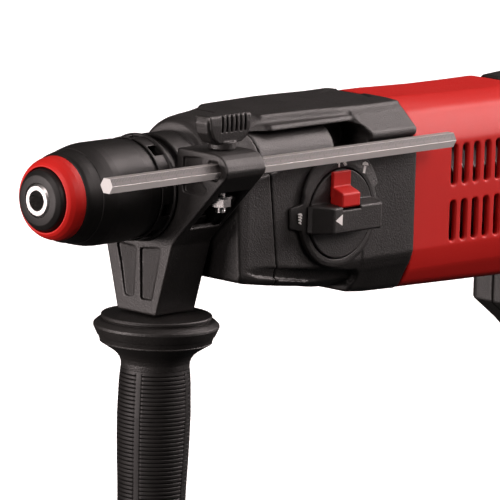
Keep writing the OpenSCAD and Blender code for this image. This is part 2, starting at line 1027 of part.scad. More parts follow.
gear_case_front();
gear_case_rear();
motor_housing();
handle_left();
handle_right();
grip_cover();
index_ring();
mode_ring();
case_screws();
handle_screws();
stator();
brush_holders();
brushes();
brush_springs();
spindle_bearing();
shaft_bearings();
motor_bearings();
shaft_seal();
bearing_plate();
air_baffle();
switch_module();
cable_gland();
spindle();
spindle_gear();
dust_cap();
sleeve_spring();
locking_sleeve();
sleeve_cap();
lock_ball_left();
lock_ball_right();
anvil();
anvil_seal();
piston();
wrist_pin();
striker();
striker_ring();
intermediate_shaft();
intermediate_gear();
wobble_hub();
wobble_ring();
drive_clutch();
armature_shaft();
armature_core();
commutator();
fan();
windings();
mode_knob();
selector_pin();
lock_button();
trigger();
lock_on_button();
direction_lever();
handle_bracket();
clamp_band();
band_bolt();
grip_core();
grip_sleeve();
wing_knob();
clamp_nut();
depth_rod();
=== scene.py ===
# Looks of the rotary hammer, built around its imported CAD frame.
# Shapes are worked out in millimetres and written to the meshes in metres.
import json
import math

import bpy
import numpy as np
import openvdb
from mathutils import Matrix, Vector


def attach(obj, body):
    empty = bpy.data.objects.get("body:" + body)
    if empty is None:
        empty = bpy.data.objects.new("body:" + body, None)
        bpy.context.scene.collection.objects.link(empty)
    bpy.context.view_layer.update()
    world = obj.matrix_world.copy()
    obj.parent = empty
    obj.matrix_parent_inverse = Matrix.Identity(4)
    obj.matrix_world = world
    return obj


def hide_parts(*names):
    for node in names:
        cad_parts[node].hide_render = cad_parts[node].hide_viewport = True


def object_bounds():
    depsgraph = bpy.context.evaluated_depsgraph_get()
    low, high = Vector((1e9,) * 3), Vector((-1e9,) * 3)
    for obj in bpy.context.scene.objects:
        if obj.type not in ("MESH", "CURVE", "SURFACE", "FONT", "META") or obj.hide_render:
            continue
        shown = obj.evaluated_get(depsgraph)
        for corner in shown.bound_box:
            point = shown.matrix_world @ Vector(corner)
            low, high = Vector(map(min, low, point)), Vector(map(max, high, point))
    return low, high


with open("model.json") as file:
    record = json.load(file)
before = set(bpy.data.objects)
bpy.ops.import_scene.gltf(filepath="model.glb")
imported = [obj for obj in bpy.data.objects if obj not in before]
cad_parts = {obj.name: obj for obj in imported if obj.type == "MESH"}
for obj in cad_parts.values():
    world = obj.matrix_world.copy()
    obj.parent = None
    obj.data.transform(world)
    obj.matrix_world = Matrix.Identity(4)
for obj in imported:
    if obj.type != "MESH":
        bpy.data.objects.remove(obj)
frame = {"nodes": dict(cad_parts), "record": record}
cad_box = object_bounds()
MM = 0.001
F = np.float32

# ------------------------------------------------------------------ distance fields


class Grid:
    """Regular points over a box; x, y and z broadcast against each other."""

    def __init__(self, low, high, step):
        self.h = step * 1.0
        self.low = np.array(low, float) - 2 * self.h
        count = np.ceil((np.array(high, float) - self.low) / self.h).astype(int) + 3
        axes = [(self.low[i] + self.h * np.arange(count[i])).astype(F) for i in range(3)]
        self.x = axes[0][:, None, None]
        self.y = axes[1][None, :, None]
        self.z = axes[2][None, None, :]
        self.shape = tuple(count)

    def surface(self, field):
        """Vertices and quads where the field is zero."""
        field = np.broadcast_to(field, self.shape)
        band = F(3 * self.h)
        grid = openvdb.FloatGrid()
        grid.background = float(band)
        grid.copyFromArray(np.ascontiguousarray(np.clip(field, -band, band), dtype=F))
        result = grid.convertToPolygons(isovalue=0.0)
        points, quads = result[0], result[-1]
        return points * self.h + self.low, quads


def smax(a, b, r=0.0):
    """Intersection whose outer edge is rounded to radius r."""
    if r <= 0:
        return np.maximum(a, b)
    r = F(r)
    return np.minimum(np.maximum(a, b), -r) + np.hypot(np.maximum(a + r, 0), np.maximum(b + r, 0))


def smin(a, b, r=0.0):
    """Union whose inner corner is filled to radius r."""
    if r <= 0:
        return np.minimum(a, b)
    return -smax(-a, -b, r)


def cut(a, b, r=0.0):
    """a without b, the rim rounded to radius r."""
    return smax(a, -b, r)


def rounded(points, r, n=6):
    """Polygon with every corner turned into an arc; r is a number or one per corner."""
    out = []
    m = len(points)
    pts = [np.array(p, float) for p in points]
    for i in range(m):
        radius = r[i] if isinstance(r, (list, tuple)) else r
        p0, p1, p2 = pts[i - 1], pts[i], pts[(i + 1) % m]
        a, b = p0 - p1, p2 - p1
        la, lb = np.hypot(*a), np.hypot(*b)
        if radius <= 0 or la < 1e-9 or lb < 1e-9:
            out.append(tuple(p1))
            continue
        a, b = a / la, b / lb
        half = math.acos(max(-1.0, min(1.0, float(a @ b)))) / 2
        t = min(radius / max(math.tan(half), 1e-6), la * 0.49, lb * 0.49)
        for s in np.linspace(0, 1, n):
            q = (1 - s) ** 2 * (p1 + a * t) + 2 * s * (1 - s) * p1 + s * s * (p1 + b * t)
            out.append(tuple(q))
    return out


def poly(u, v, points):
    """Signed distance to a closed polygon in the plane of u and v."""
    pts = np.array(points, F)
    shape = np.broadcast_shapes(u.shape, v.shape)
    best = np.full(shape, 1e9, F)
    inside = np.zeros(shape, bool)
    m = len(pts)
    for i in range(m):
        a, b = pts[i], pts[i - 1]
        e = b - a
        wu, wv = u - a[0], v - a[1]
        length2 = float(e @ e)
        if length2 < 1e-12:
            continue
        t = np.clip((wu * e[0] + wv * e[1]) / length2, 0, 1)
        best = np.minimum(best, (wu - e[0] * t) ** 2 + (wv - e[1] * t) ** 2)
        if e[1] != 0:
            crossing = ((a[1] > v) != (b[1] > v)) & (u < a[0] + (v - a[1]) * (e[0] / e[1]))
            inside = inside ^ crossing
    d = np.sqrt(best)
    return np.where(inside, -d, d)


def slab(w, low, high):
    """Layer between two stations."""
    return np.abs(w - (low + high) / 2) - (high - low) / 2


def drawn(flat, w, low, high, r=0.0):
    """Flat outline drawn out between two stations, its rims rounded."""
    return smax(flat, slab(w, low, high), r)


def bar(u, v, cu, cv, r):
    """Infinite round bar seen end on."""
    return np.hypot(u - cu, v - cv) - r


def box(g, low, high, r=0.0):
    """Box between two corners."""
    d = smax(slab(g.x, low[0], high[0]), slab(g.y, low[1], high[1]), r)
    return smax(d, slab(g.z, low[2], high[2]), r)


def plane(u, v, a, b):
    """Signed distance to the line from a to b, positive on its left."""
    ex, ey = b[0] - a[0], b[1] - a[1]
    n = math.hypot(ex, ey)
    return ((v - a[1]) * ex - (u - a[0]) * ey) / n


# ------------------------------------------------------------------ materials


class Nodes:
    """Short calls for building one node material."""

    def __init__(self, name):
        self.material = bpy.data.materials.new(name)
        self.material.use_nodes = True
        self.tree = self.material.node_tree
        self.shader = self.tree.nodes["Principled BSDF"]
        self.coords = self.tree.nodes.new("ShaderNodeTexCoord").outputs["Object"]

    def node(self, kind, inputs=(), **props):
        n = self.tree.nodes.new(kind)
        for key, value in props.items():
            setattr(n, key, value)
        for key, value in dict(inputs).items():
            if isinstance(value, bpy.types.NodeSocket):
                self.tree.links.new(value, n.inputs[key])
            else:
                n.inputs[key].default_value = value
        return n

    def noise(self, scale, detail=3.0, rough=0.5, stretch=(1, 1, 1)):
        v = self.node("ShaderNodeMapping", {"Vector": self.coords, "Scale": stretch}).outputs[0]
        return self.node("ShaderNodeTexNoise", {"Vector": v, "Scale": scale, "Detail": detail,
                                                "Roughness": rough}).outputs["Fac"]

    def between(self, value, low, high, out_low, out_high):
        return self.node("ShaderNodeMapRange", {"Value": value, "From Min": low, "From Max": high,
                                                "To Min": out_low, "To Max": out_high}).outputs[0]

    def math(self, op, a, b=0.0, clamp=False):
        n = self.node("ShaderNodeMath", {0: a, 1: b}, operation=op)
        n.use_clamp = clamp
        return n.outputs[0]

    def mix(self, fac, a, b):
        n = self.tree.nodes.new("ShaderNodeMix")
        n.data_type = "RGBA"
        for socket, value in ((n.inputs[0], fac), (n.inputs[6], a), (n.inputs[7], b)):
            if isinstance(value, bpy.types.NodeSocket):
                self.tree.links.new(value, socket)
            else:
                socket.default_value = value
        return n.outputs[2]

    def bump(self, height, strength, distance, before=None):
        inputs = {"Height": height, "Strength": strength, "Distance": distance}
        if before is not None:
            inputs["Normal"] = before
        return self.node("ShaderNodeBump", inputs).outputs[0]

    def set(self, **values):
        for key, value in values.items():
            socket = self.shader.inputs[key.replace("_", " ")]
            if isinstance(value, bpy.types.NodeSocket):
                self.tree.links.new(value, socket)
            else:
                socket.default_value = value


def rgb(r, g, b):
    return (r, g, b, 1.0)


def shade(colour, k):
    """Colour made k times as bright."""
    return (colour[0] * k, colour[1] * k, colour[2] * k, 1.0)


def moulded(name, colour, rough, grain=1400, depth=0.5, spread=0.18, specular=0.5):
    """Moulded plastic: fine spark-eroded grain, faint cloudiness and uneven gloss."""
    m = Nodes(name)
    fine = m.noise(grain, 2.0, 0.55)
    cloud = m.noise(60, 4.0, 0.6)
    m.set(Base_Color=m.mix(cloud, shade(colour, 1 - spread), shade(colour, 1 + spread)))
    gloss = m.math("ADD", m.between(fine, 0.3, 0.7, -0.07, 0.07),
                   m.between(cloud, 0.3, 0.7, rough - 0.03, rough + 0.03))
    m.set(Roughness=gloss, Specular_IOR_Level=specular)
    m.set(Normal=m.bump(fine, depth, 0.0002))
    return m.material


def metal(name, colour, rough, along=(1, 1, 1), lines=900, depth=0.12, spread=0.1):
    """Machined metal: streaks across the working direction and a little tarnish."""
    m = Nodes(name)
    streak = m.noise(lines, 3.0, 0.6, along)
    stain = m.noise(90, 4.0, 0.6)
    m.set(Metallic=1.0)
    m.set(Base_Color=m.mix(stain, shade(colour, 1 - spread), shade(colour, 1 + spread)))
    m.set(Roughness=m.between(streak, 0.25, 0.75, rough - 0.06, rough + 0.08))
    m.set(Normal=m.bump(streak, depth, 0.00005))
    return m.material


def rubber(name, colour, rough):
    """Soft grip material: very fine grain and a little dust."""
    m = Nodes(name)
    fine = m.noise(2600, 2.0, 0.6)
    dust = m.noise(120, 5.0, 0.7)
    m.set(Base_Color=m.mix(m.between(dust, 0.35, 0.75, 0, 1), shade(colour, 0.85), shade(colour, 1.35)))
    m.set(Roughness=m.between(dust, 0.3, 0.7, rough - 0.04, rough + 0.05), Specular_IOR_Level=0.3)
    m.set(Normal=m.bump(fine, 0.35, 0.00008))
    return m.material


BLACK = moulded("black_plastic", (0.0085, 0.0076, 0.0070), 0.50, grain=1300, depth=0.9)
BLACK_FINE = moulded("sleeve_plastic", (0.007, 0.0065, 0.006), 0.44, grain=2200, depth=0.2,
                     specular=0.3)
RED = moulded("red_plastic", (0.48, 0.013, 0.010), 0.45, grain=2000, depth=0.2, spread=0.04,
              specular=0.25)
RUBBER = rubber("soft_rubber", (0.0072, 0.0066, 0.0062), 0.5)
STEEL = metal("steel", (0.62, 0.61, 0.60), 0.3, (0.06, 1, 1))
DARK_STEEL = metal("dark_steel", (0.27, 0.27, 0.28), 0.38)
ALLOY = metal("alloy", (0.66, 0.67, 0.68), 0.45, lines=1500, depth=0.3)
COPPER = metal("copper", (0.72, 0.36, 0.19), 0.32, (0.1, 1, 1))
BRASS = metal("brass", (0.72, 0.54, 0.24), 0.35)
CARBON = moulded("carbon", (0.03, 0.03, 0.033), 0.6, grain=3000, depth=0.4)
PAINT = moulded("white_paint", (0.78, 0.77, 0.75), 0.5, grain=3000, depth=0.05, spread=0.02)

# Depth rod, in metres: its front faces lie beyond this y, its upper front face between these heights
ROD_FRONT_Y = 0.0487
ROD_FACE_LOW, ROD_FACE_TOP = 0.0141, 0.01738
ROD_END_X = 0.0019
TICK_FOOT, TICK_FIVE, TICK_TEN = 0.0158, 0.0004, 0.0005


def rod_material():
    """Bright drawn steel with engraved black divisions along the upper front face; the upper front face
    and the top face carry painted shade.
    """
    m = Nodes("rod_steel_with_painted_shade")
    streak = m.noise(900, 3.0, 0.6, (0.05, 1, 1))
    stain = m.noise(90, 4.0, 0.6)
    split = m.node("ShaderNodeSeparateXYZ", {"Vector": m.coords})
    x, y, z = split.outputs
    # One line a millimetre, longer at every fifth and tenth
    pos = m.math("MULTIPLY", x, 1000.0)
    from_middle = m.math("ABSOLUTE", m.math("SUBTRACT", m.math("FRACT", pos), 0.5))
    line = m.math("LESS_THAN", from_middle, 0.2)
    fifths = m.math("FRACT", m.math("ADD", m.math("MULTIPLY", pos, 0.2), 0.2))
    five = m.math("LESS_THAN", fifths, 0.2)
    tenths = m.math("FRACT", m.math("ADD", m.math("MULTIPLY", pos, 0.1), 0.1))
    ten = m.math("LESS_THAN", tenths, 0.1)
    # Height of the line's lower end
    longer = m.math("ADD", m.math("MULTIPLY", five, TICK_FIVE), m.math("MULTIPLY", ten, TICK_TEN))
    foot = m.math("SUBTRACT", TICK_FOOT, longer)
    front = m.math("GREATER_THAN", y, ROD_FRONT_Y)
    below_top = m.math("LESS_THAN", z, ROD_FACE_TOP)
    on_face = m.math("MULTIPLY", front, m.math("GREATER_THAN", z, foot))
    ink = m.math("MULTIPLY", m.math("MULTIPLY", line, on_face), below_top)
    steel = m.mix(stain, rgb(0.86, 0.84, 0.82), rgb(0.93, 0.91, 0.89))
    # Painted shade: the divided face and the one above it are painted darker than the lower front face,
    # standing in for the shade that falls on them
    upper = m.math("MULTIPLY", front, m.math("GREATER_THAN", z, ROD_FACE_LOW))
    steel = m.mix(m.math("MULTIPLY", upper, below_top), steel, rgb(0.070, 0.066, 0.063))
    steel = m.mix(m.math("GREATER_THAN", z, ROD_FACE_TOP), steel, rgb(0.30, 0.29, 0.28))
    # Sawn end
    steel = m.mix(m.math("GREATER_THAN", x, ROD_END_X), steel, rgb(0.40, 0.395, 0.385))
    m.set(Base_Color=m.mix(ink, steel, rgb(0.012, 0.012, 0.012)))
    m.set(Metallic=m.between(ink, 0, 1, 0.18, 0.0), Specular_IOR_Level=0.4)
    m.set(Roughness=m.between(streak, 0.25, 0.75, 0.38, 0.5))
    m.set(Normal=m.bump(streak, 0.12, 0.00005))
    return m.material


ROD = rod_material()

CAD_LOOKS = {
    "steel": STEEL, "dark_steel": DARK_STEEL, "alloy": ALLOY, "copper": COPPER, "brass": BRASS,
    "carbon": CARBON, "black_plastic": BLACK, "sleeve_plastic": BLACK_FINE, "red_plastic": RED,
    "soft_rubber": RUBBER}

# ------------------------------------------------------------------ pieces


def make(name, verts, faces, material, body, nodes=(), sharp=None):
    """Mesh object from millimetre points, riding on its body and standing for its CAD nodes."""
    mesh = bpy.data.meshes.new(name)
    verts = np.asarray(verts, float) * MM
    if isinstance(faces, np.ndarray):
        count, width = faces.shape
        mesh.vertices.add(len(verts))
        mesh.vertices.foreach_set("co", verts.ravel())
        mesh.loops.add(count * width)
        mesh.loops.foreach_set("vertex_index", faces.ravel().astype(np.int32))
        mesh.polygons.add(count)
        mesh.polygons.foreach_set("loop_start", np.arange(0, count * width, width, dtype=np.int32))
        mesh.update(calc_edges=True)
    else:
        mesh.from_pydata([tuple(v) for v in verts], [], faces)
    mesh.validate()
    mesh.polygons.foreach_set("use_smooth", [True] * len(mesh.polygons))
    if sharp is not None:
        mesh.set_sharp_from_angle(angle=math.radians(sharp))
    mesh.materials.append(material)
    obj = bpy.data.objects.new(name, mesh)
    bpy.context.scene.collection.objects.link(obj)
    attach(obj, body)
    if nodes:
        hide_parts(*nodes)
    return obj


def carve(name, grid, field, material, body, nodes=(), cavity=None):
    """Piece from a field; cavity is a closed field on a coarser grid, its wall turned inwards."""
    verts, quads = grid.surface(field)
    if cavity is not None:
        inner_verts, inner_quads = cavity[0].surface(cavity[1])
        quads = np.vstack([quads, inner_quads[:, ::-1] + len(verts)])
        verts = np.vstack([verts, inner_verts])
    return make(name, verts, quads, material, body, nodes)


def turn(profile, axis="x", centre=(0, 0, 0), n=160):
    """Closed profile of (station, radius) turned about an axis."""
    n = n
    prof = [(s, max(r, 0.0)) for s, r in profile]
    angles = np.arange(n) * 2 * math.pi / n
    verts, rings = [], []
    for s, r in prof:
        if r < 1e-6:
            rings.append([len(verts)])
            verts.append((s, 0.0, 0.0))
            continue
        radii = np.full(n, r)
        rings.append(list(range(len(verts), len(verts) + n)))
        verts.extend(zip([s] * n, radii * np.cos(angles), radii * np.sin(angles)))
    faces = []
    m = len(rings)
    for i in range(m):
        a, b = rings[i], rings[(i + 1) % m]
        if len(a) == 1 and len(b) == 1:
            continue
        for k in range(n):
            j = (k + 1) % n
            if len(a) == 1:
                faces.append((a[0], b[j], b[k]))
            elif len(b) == 1:
                faces.append((a[k], a[j], b[0]))
            else:
                faces.append((a[k], a[j], b[j], b[k]))
    v = np.array(verts)
    columns = {"x": [0, 1, 2], "y": [2, 0, 1], "z": [1, 2, 0]}[axis]
    v = v[:, columns] + np.array(centre, float)
    # Outward faces: the volume must come out positive
    volume = 0.0
    for f in faces[:: max(1, len(faces) // 4000)]:
        a, b, c = v[f[0]], v[f[1]], v[f[2]]
        volume += float(np.dot(a - v.mean(0), np.cross(b - v.mean(0), c - v.mean(0))))
        if len(f) == 4:
            d = v[f[3]]
            volume += float(np.dot(a - v.mean(0), np.cross(c - v.mean(0), d - v.mean(0))))
    if volume < 0:
        faces = [f[::-1] for f in faces]
    return v, faces


def dress(node, material, bevel=None):
    """Better material, and soft edges when a bevel is given, on a CAD node that stays."""
    obj = frame["nodes"][node]
    if obj.data.materials:
        for i in range(len(obj.data.materials)):
            obj.data.materials[i] = material
    else:
        obj.data.materials.append(material)
    if bevel:
        b = obj.modifiers.new("edges", "BEVEL")
        b.width = bevel * MM
        b.segments = 2
        b.limit_method = "ANGLE"
        b.angle_limit = math.radians(35)


# ------------------------------------------------------------------ camera and light

CAMERA_AT = (2.17637, 2.24853, 0.53343)
CAMERA_LENS = 487.08
CAMERA_FORWARD = Vector((-0.70727552, -0.68510923, -0.17431774)).normalized()
CAMERA_ROLL = math.radians(1.768922)

cam_data = bpy.data.cameras.new("camera")
cam_data.lens = CAMERA_LENS
cam_data.sensor_width = 36.0
cam_data.clip_start = 0.1
cam_data.clip_end = 60.0
camera = bpy.data.objects.new("camera", cam_data)
bpy.context.scene.collection.objects.link(camera)
level = CAMERA_FORWARD.cross(Vector((0, 0, 1))).normalized()
upright = level.cross(CAMERA_FORWARD)
right = level * math.cos(CAMERA_ROLL) + upright * math.sin(CAMERA_ROLL)
up = right.cross(CAMERA_FORWARD)
camera.matrix_world = Matrix((
    (right.x, up.x, -CAMERA_FORWARD.x, CAMERA_AT[0]),
    (right.y, up.y, -CAMERA_FORWARD.y, CAMERA_AT[1]),
    (right.z, up.z, -CAMERA_FORWARD.z, CAMERA_AT[2]),
    (0, 0, 0, 1)))
bpy.context.scene.camera = camera


WARM = (1.08, 0.945, 0.93)  # colour of every lamp


def lamp(name, at, aim, size, power):
    """Soft rectangular light at a place, aimed at a point."""
    data = bpy.data.lights.new(name, "AREA")
    data.shape = "RECTANGLE"
    data.size, data.size_y = size
    data.energy = power
    data.color = WARM
    obj = bpy.data.objects.new(name, data)
    obj.location = at
    obj.rotation_euler = (Vector(aim) - Vector(at)).to_track_quat("-Z", "Y").to_euler()
    bpy.context.scene.collection.objects.link(obj)


MIDDLE = (-0.15, 0.0, -0.03)
lamp("overhead", (-0.2, -0.6, 2.8), (-0.2, -0.6, 0.0), (4.0, 4.0), 10)
lamp("front", (1.9, -1.3, 0.15), MIDDLE, (0.9, 1.0), 10)
lamp("front_low", (2.0, -0.9, -0.02), MIDDLE, (0.9, 0.25), 46)
lamp("front_high", (1.9, 0.2, 1.5), MIDDLE, (1.0, 1.0), 24)
lamp("front_left", (2.3, 0.3, 0.15), MIDDLE, (0.9, 0.9), 13)
lamp("rear_top", (-1.6, 0.55, 1.5), MIDDLE, (1.0, 0.7), 26)
lamp("rear_side", (-2.2, 0.9, 0.7), MIDDLE, (0.8, 0.8), 42)
lamp("edge", (-1.65, -0.45, 1.5), MIDDLE, (0.5, 0.5), 1.5)
lamp("side_high", (-0.6, 2.2, 1.6), MIDDLE, (1.2, 1.0), 28)
lamp("side", (-1.6, 1.75, 0.32), MIDDLE, (0.7, 0.6), 3.5)

world = bpy.data.worlds.new("studio")
world.use_nodes = True
world.node_tree.nodes["Background"].inputs["Color"].default_value = (1, 1, 1, 1)
world.node_tree.nodes["Background"].inputs["Strength"].default_value = 0.02
bpy.context.scene.world = world
bpy.context.scene.view_settings.view_transform = "Standard"

floor_mesh = bpy.data.meshes.new("floor")
FLOOR_Z = cad_box[0][2] - 0.0005
FLOOR_R = 14.0
FLOOR_SIDES = 64
around = np.linspace(0, 2 * math.pi, FLOOR_SIDES, endpoint=False)
ring = [(FLOOR_R * math.cos(a), FLOOR_R * math.sin(a), FLOOR_Z) for a in around]
floor_mesh.from_pydata(ring, [], [tuple(range(FLOOR_SIDES))])
floor = bpy.data.objects.new("floor", floor_mesh)
bpy.context.scene.collection.objects.link(floor)
floor_look = Nodes("floor_white")
patchy = floor_look.noise(0.7, 2.0)
floor_look.set(Base_Color=floor_look.mix(patchy, rgb(0.93, 0.93, 0.93), rgb(0.95, 0.95, 0.95)))
floor_look.set(Roughness=0.9, Specular_IOR_Level=0.0)
floor_look.set(Emission_Color=rgb(1, 1, 1), Emission_Strength=0.62)
floor_mesh.materials.append(floor_look.material)
floor.visible_glossy = False
floor.visible_diffuse = False

# ------------------------------------------------------------------ gear case

SIDE_Y = 37.92  # half the width of the body, just inside the CAD box
SEAM_TOP, SEAM_LOW = (-111.7, 60.0), (-130.6, -80.0)
CASE_SIDE = [
    (-89.3, 30.6), (-96, 31.5), (-108, 31.9), (-122, 32.3), (-135, 33.1), (-165, 33.3),
    (-203, 32.0), (-230, 32.4), (-230, -62.3), (-197, -61.1), (-181, -59.4), (-151, -53.4),
    (-105, -46.2), (-98, -44), (-91, -30), (-89.3, -27)]
CASE_CROSS = [(27.7, 36), (27.8, 28.5), (28.9, 24.9), (31, 20), (37.9, 10), (37.9, -42), (34, -50),
              (25, -67)]
CASE_CROSS_R = [0, 0.5, 0.4, 4, 3, 4, 5, 8]
COLLAR_CROSS = [
    (20.5, 32.8), (26.5, 29.0), (37.2, 19.8), (37.4, 16.6), (35.2, 15.0), (35.4, 11.8),
    (37.9, 10), (37.9, -42), (34, -50), (25, -67)]
COLLAR_CROSS_R = [0.8, 2, 1.2, 0.6, 0.6, 0.6, 2, 4, 5, 8]
CASE_PLAN = [
    (-89.4, -5), (-89.4, 24), (-92, 29), (-95.5, 32.6), (-99.5, 36.8), (-105, 38.2),
    (-240, 38.2), (-240, -5)]
DOME = [
    (-60, -10), (-60, 26), (-89.4, 29.8), (-92, 31.8), (-95.9, 32.8), (-98.5, 37), (-101, 60),
    (-250, 60), (-250, -10)]
DOME_R = [0, 0, 2, 4, 1, 3, 0, 0, 0]
CROWN_DOME = [
    (-60, -10), (-60, 27), (-89.4, 27), (-90.4, 29.2), (-92.6, 31.0), (-96, 32.0), (-102, 32.8),
    (-113, 33.7), (-127, 35.4), (-127.6, 38), (-135, 50), (-150, 90), (-250, 90), (-250, -10)]
CROWN_DOME_R = [0, 0, 0, 1.5, 3, 6, 8, 8, 0.5, 1, 4, 0, 0, 0]
CHANNEL = [(-88, 25.0), (-181, 25.0), (-187, 22.5), (-189, 18.5), (-188.5, 12.0), (-88, 9.0)]
CHANNEL_R = [0, 1, 3, 4, 2, 0]
CHANNEL_Y = 16.5  # the channels lie outside this, and the barrel is centred on it
BARREL_Z, BARREL_R, BARREL_END = 10.6, 14.8, -171.5
NOSE = [
    (-50, -10), (-50, 22.7), (-88.3, 22.7), (-89.3, 24.0), (-92, 26), (-98, 28), (-106, 30),
    (-125, 30), (-125, -10)]
NOSE_R = [0, 0, 1.2, 1, 2, 4, 4, 0, 0]
SCOOP = [
    (-97, -37.4), (-115, -38.8), (-134, -41.4), (-175, -46.4), (-182, -47.2), (-185.5, -50),
    (-185.5, -54.4), (-178.6, -54.0), (-154, -50.4), (-133, -46.9), (-111, -42.6)]
SCOOP_R = [0.5, 8, 8, 8, 1.5, 2, 1.5, 8, 8, 8, 8]
CROWN_PATCH = [(-206, 8.5), (-216, 11), (-226, -14), (-217, -18.5), (-206, -14)]
CROWN_CENTRE_Z, CROWN_R = -250, 283.4
KNOB_X, KNOB_Z = -165.0, -17.0
CAVITY_CROSS = [(17, 29.5), (22, 27), (25, 18), (34.6, 8), (34.6, -40), (30, -47.5), (21, -62)]
CAVITY_SIDE = [
    (-106, 28.6), (-220, 28.2), (-220, -58.5), (-196, -57.6), (-181, -55.8), (-151, -49.8),
    (-106, -42)]


def mirrored(points):
    """Outline completed with its mirror image across the vertical axis."""
    return points + [(-p, q) for p, q in reversed(points)]


def case_shape(g):
    """Outside of the two gear-case castings as one field."""
    y = np.abs(g.y)
    side = poly(g.x, g.z, rounded(CASE_SIDE, 6))
    main = poly(g.y, g.z, rounded(mirrored(CASE_CROSS), CASE_CROSS_R + CASE_CROSS_R[::-1]))
    collar = poly(g.y, g.z, rounded(mirrored(COLLAR_CROSS), COLLAR_CROSS_R + COLLAR_CROSS_R[::-1]))
    # Front of the body narrows in plan towards the nose
    plan = poly(g.x, y, rounded(CASE_PLAN, 5))
    crown = np.hypot(g.y, g.z - CROWN_CENTRE_Z) - CROWN_R
    # The crown is a raised block; a hollow step leads out to the ledge over the channel
    wall_y = np.interp(g.x, [-180, -121], [25.0, 20.9])
    block_top = smax(smax(main, crown, 0.9), (y - wall_y - (31.0 - g.z) * 0.2) / 1.02, 1.0)
    ledge = smax(main, g.z - 27.7 + 0.06 * (y - 26.0), 0.7)
    body = smax(smax(smin(block_top, ledge, 1.2), side, 3.0), plan, 3.0)
    # Round nose: a true dome up to the bracket, then a softer one over the crown only
    radius = np.hypot(g.y, g.z)
    dome = poly(g.x, radius, rounded(DOME, DOME_R))
    narrow = np.interp(g.x, [-127, -100], [0.9, 1.15])
    above = np.hypot(g.y * narrow, np.maximum(g.z, 0))
    upper = poly(g.x, above, rounded(CROWN_DOME, CROWN_DOME_R)) - 2.5 * np.maximum(7 - g.z, 0)
    body = smax(smax(body, dome, 1.0), upper, 1.0)
    rear = smax(smax(smax(collar, crown, 1.0), side, 3.0), slab(g.x, -240, -184), 1.5)
    # Channel beside the spindle barrel, ending in a rounded pocket
    barrel = smax(bar(y, g.z, CHANNEL_Y, BARREL_Z, BARREL_R), BARREL_END - g.x, 4.0)
    reach = smax(poly(g.x, g.z, rounded(CHANNEL, CHANNEL_R)), CHANNEL_Y - y, 0.5)
    body = cut(body, smax(reach, -barrel, 0.8), 0.35)
    body = smin(body, cut(rear, reach, 1.0), 0.6)
    body = smin(body, poly(g.x, radius, rounded(NOSE, NOSE_R)), 1.5)
    # Scooped recess low on each side; it deepens towards the rear, where it ends in a wall
    scoop = poly(g.x, g.z, rounded(SCOOP, SCOOP_R))
    deeper = np.interp(g.x, [-182, -100], [3.4, -0.4])
    under = 0.95 * (y - 35.6) - 0.31 * (g.z + 44) + deeper
    body = cut(body, smax(scoop, -under, 0.8), 0.7)
    # Shallow panel on the crown by the motor housing
    patch = poly(g.x, g.y, rounded(CROWN_PATCH, 1.5))
    body = cut(body, smax(patch, 31.3 - g.z, 0.3), 0.4)
    # Room for the ring of the selector and its disc
    seat = smax(bar(g.x, g.z, KNOB_X, KNOB_Z, 22.4), 37.2 - g.y, 0.3)
    body = cut(body, seat, 0.4)
    # Neck and its bore
    body = smax(body, g.x + 67.8, 0.4)
    body = cut(body, smax(bar(g.y, g.z, 0, 0, 20.2), -(g.x + 89.0), 0), 0.3)
    return np.maximum(body, y - SIDE_Y)


def case_cavity(g):
    """Inside of the two castings as one field."""
    main = poly(g.y, g.z, mirrored(CAVITY_CROSS))
    side = poly(g.x, g.z, CAVITY_SIDE)
    # Wall kept under the channels and behind their end pockets
    main = smax(main, np.minimum(g.z - 6, np.hypot(g.y, g.z) - 29.3), 0)
    main = smax(main, np.minimum(np.minimum(-167.5 - g.x, np.abs(g.y) - 15.0), g.z - 9), 0)
    return smax(smax(main, side, 3), slab(g.x, -300, -106), 2)


def seam_plane(g):
    """Positive in front of the joint between the two castings."""
    return plane(g.x, g.z, SEAM_TOP, SEAM_LOW)


SEAM_GAP = 0.12
CASE_WALL = 1.2  # each casting's end wall at the joint
g = Grid((-138, -39.5, -58), (-66, 39.5, 34), 0.6)
shape = case_shape(g)
gc = Grid((-138, -39.5, -60), (-100, 39.5, 34), 1.5)
inner = smax(case_cavity(gc), -(seam_plane(gc) - CASE_WALL), 1)
carve("gear_case_nose", g, smax(shape, -(seam_plane(g) - SEAM_GAP), 0.45), BLACK, "housing",
      ("gear_case_front",), (gc, inner))
g = Grid((-222.5, -39.5, -65), (-108, 39.5, 34), 0.82)
shape = case_shape(g)
gc = Grid((-222, -39.5, -65), (-108, 39.5, 34), 1.5)
inner = smax(smax(case_cavity(gc), seam_plane(gc) + CASE_WALL, 1), -(gc.x + 218.0), 1)
shape = smax(smax(shape, seam_plane(g) + SEAM_GAP, 0.45), -(g.x + 220.9), 0.6)
carve("gear_case_body", g, shape, BLACK, "housing", ("gear_case_rear",), (gc, inner))

# ------------------------------------------------------------------ motor housing

HOUSING_SIDE_R = [0, 6, 10, 12, 12, 12, 4, 5, 30, 0]
HOUSING_CROSS_R = [9, 9, 6, 6, 8, 10]
HOUSING_PLAN_R = [0, 0, 14, 8, 2, 0]


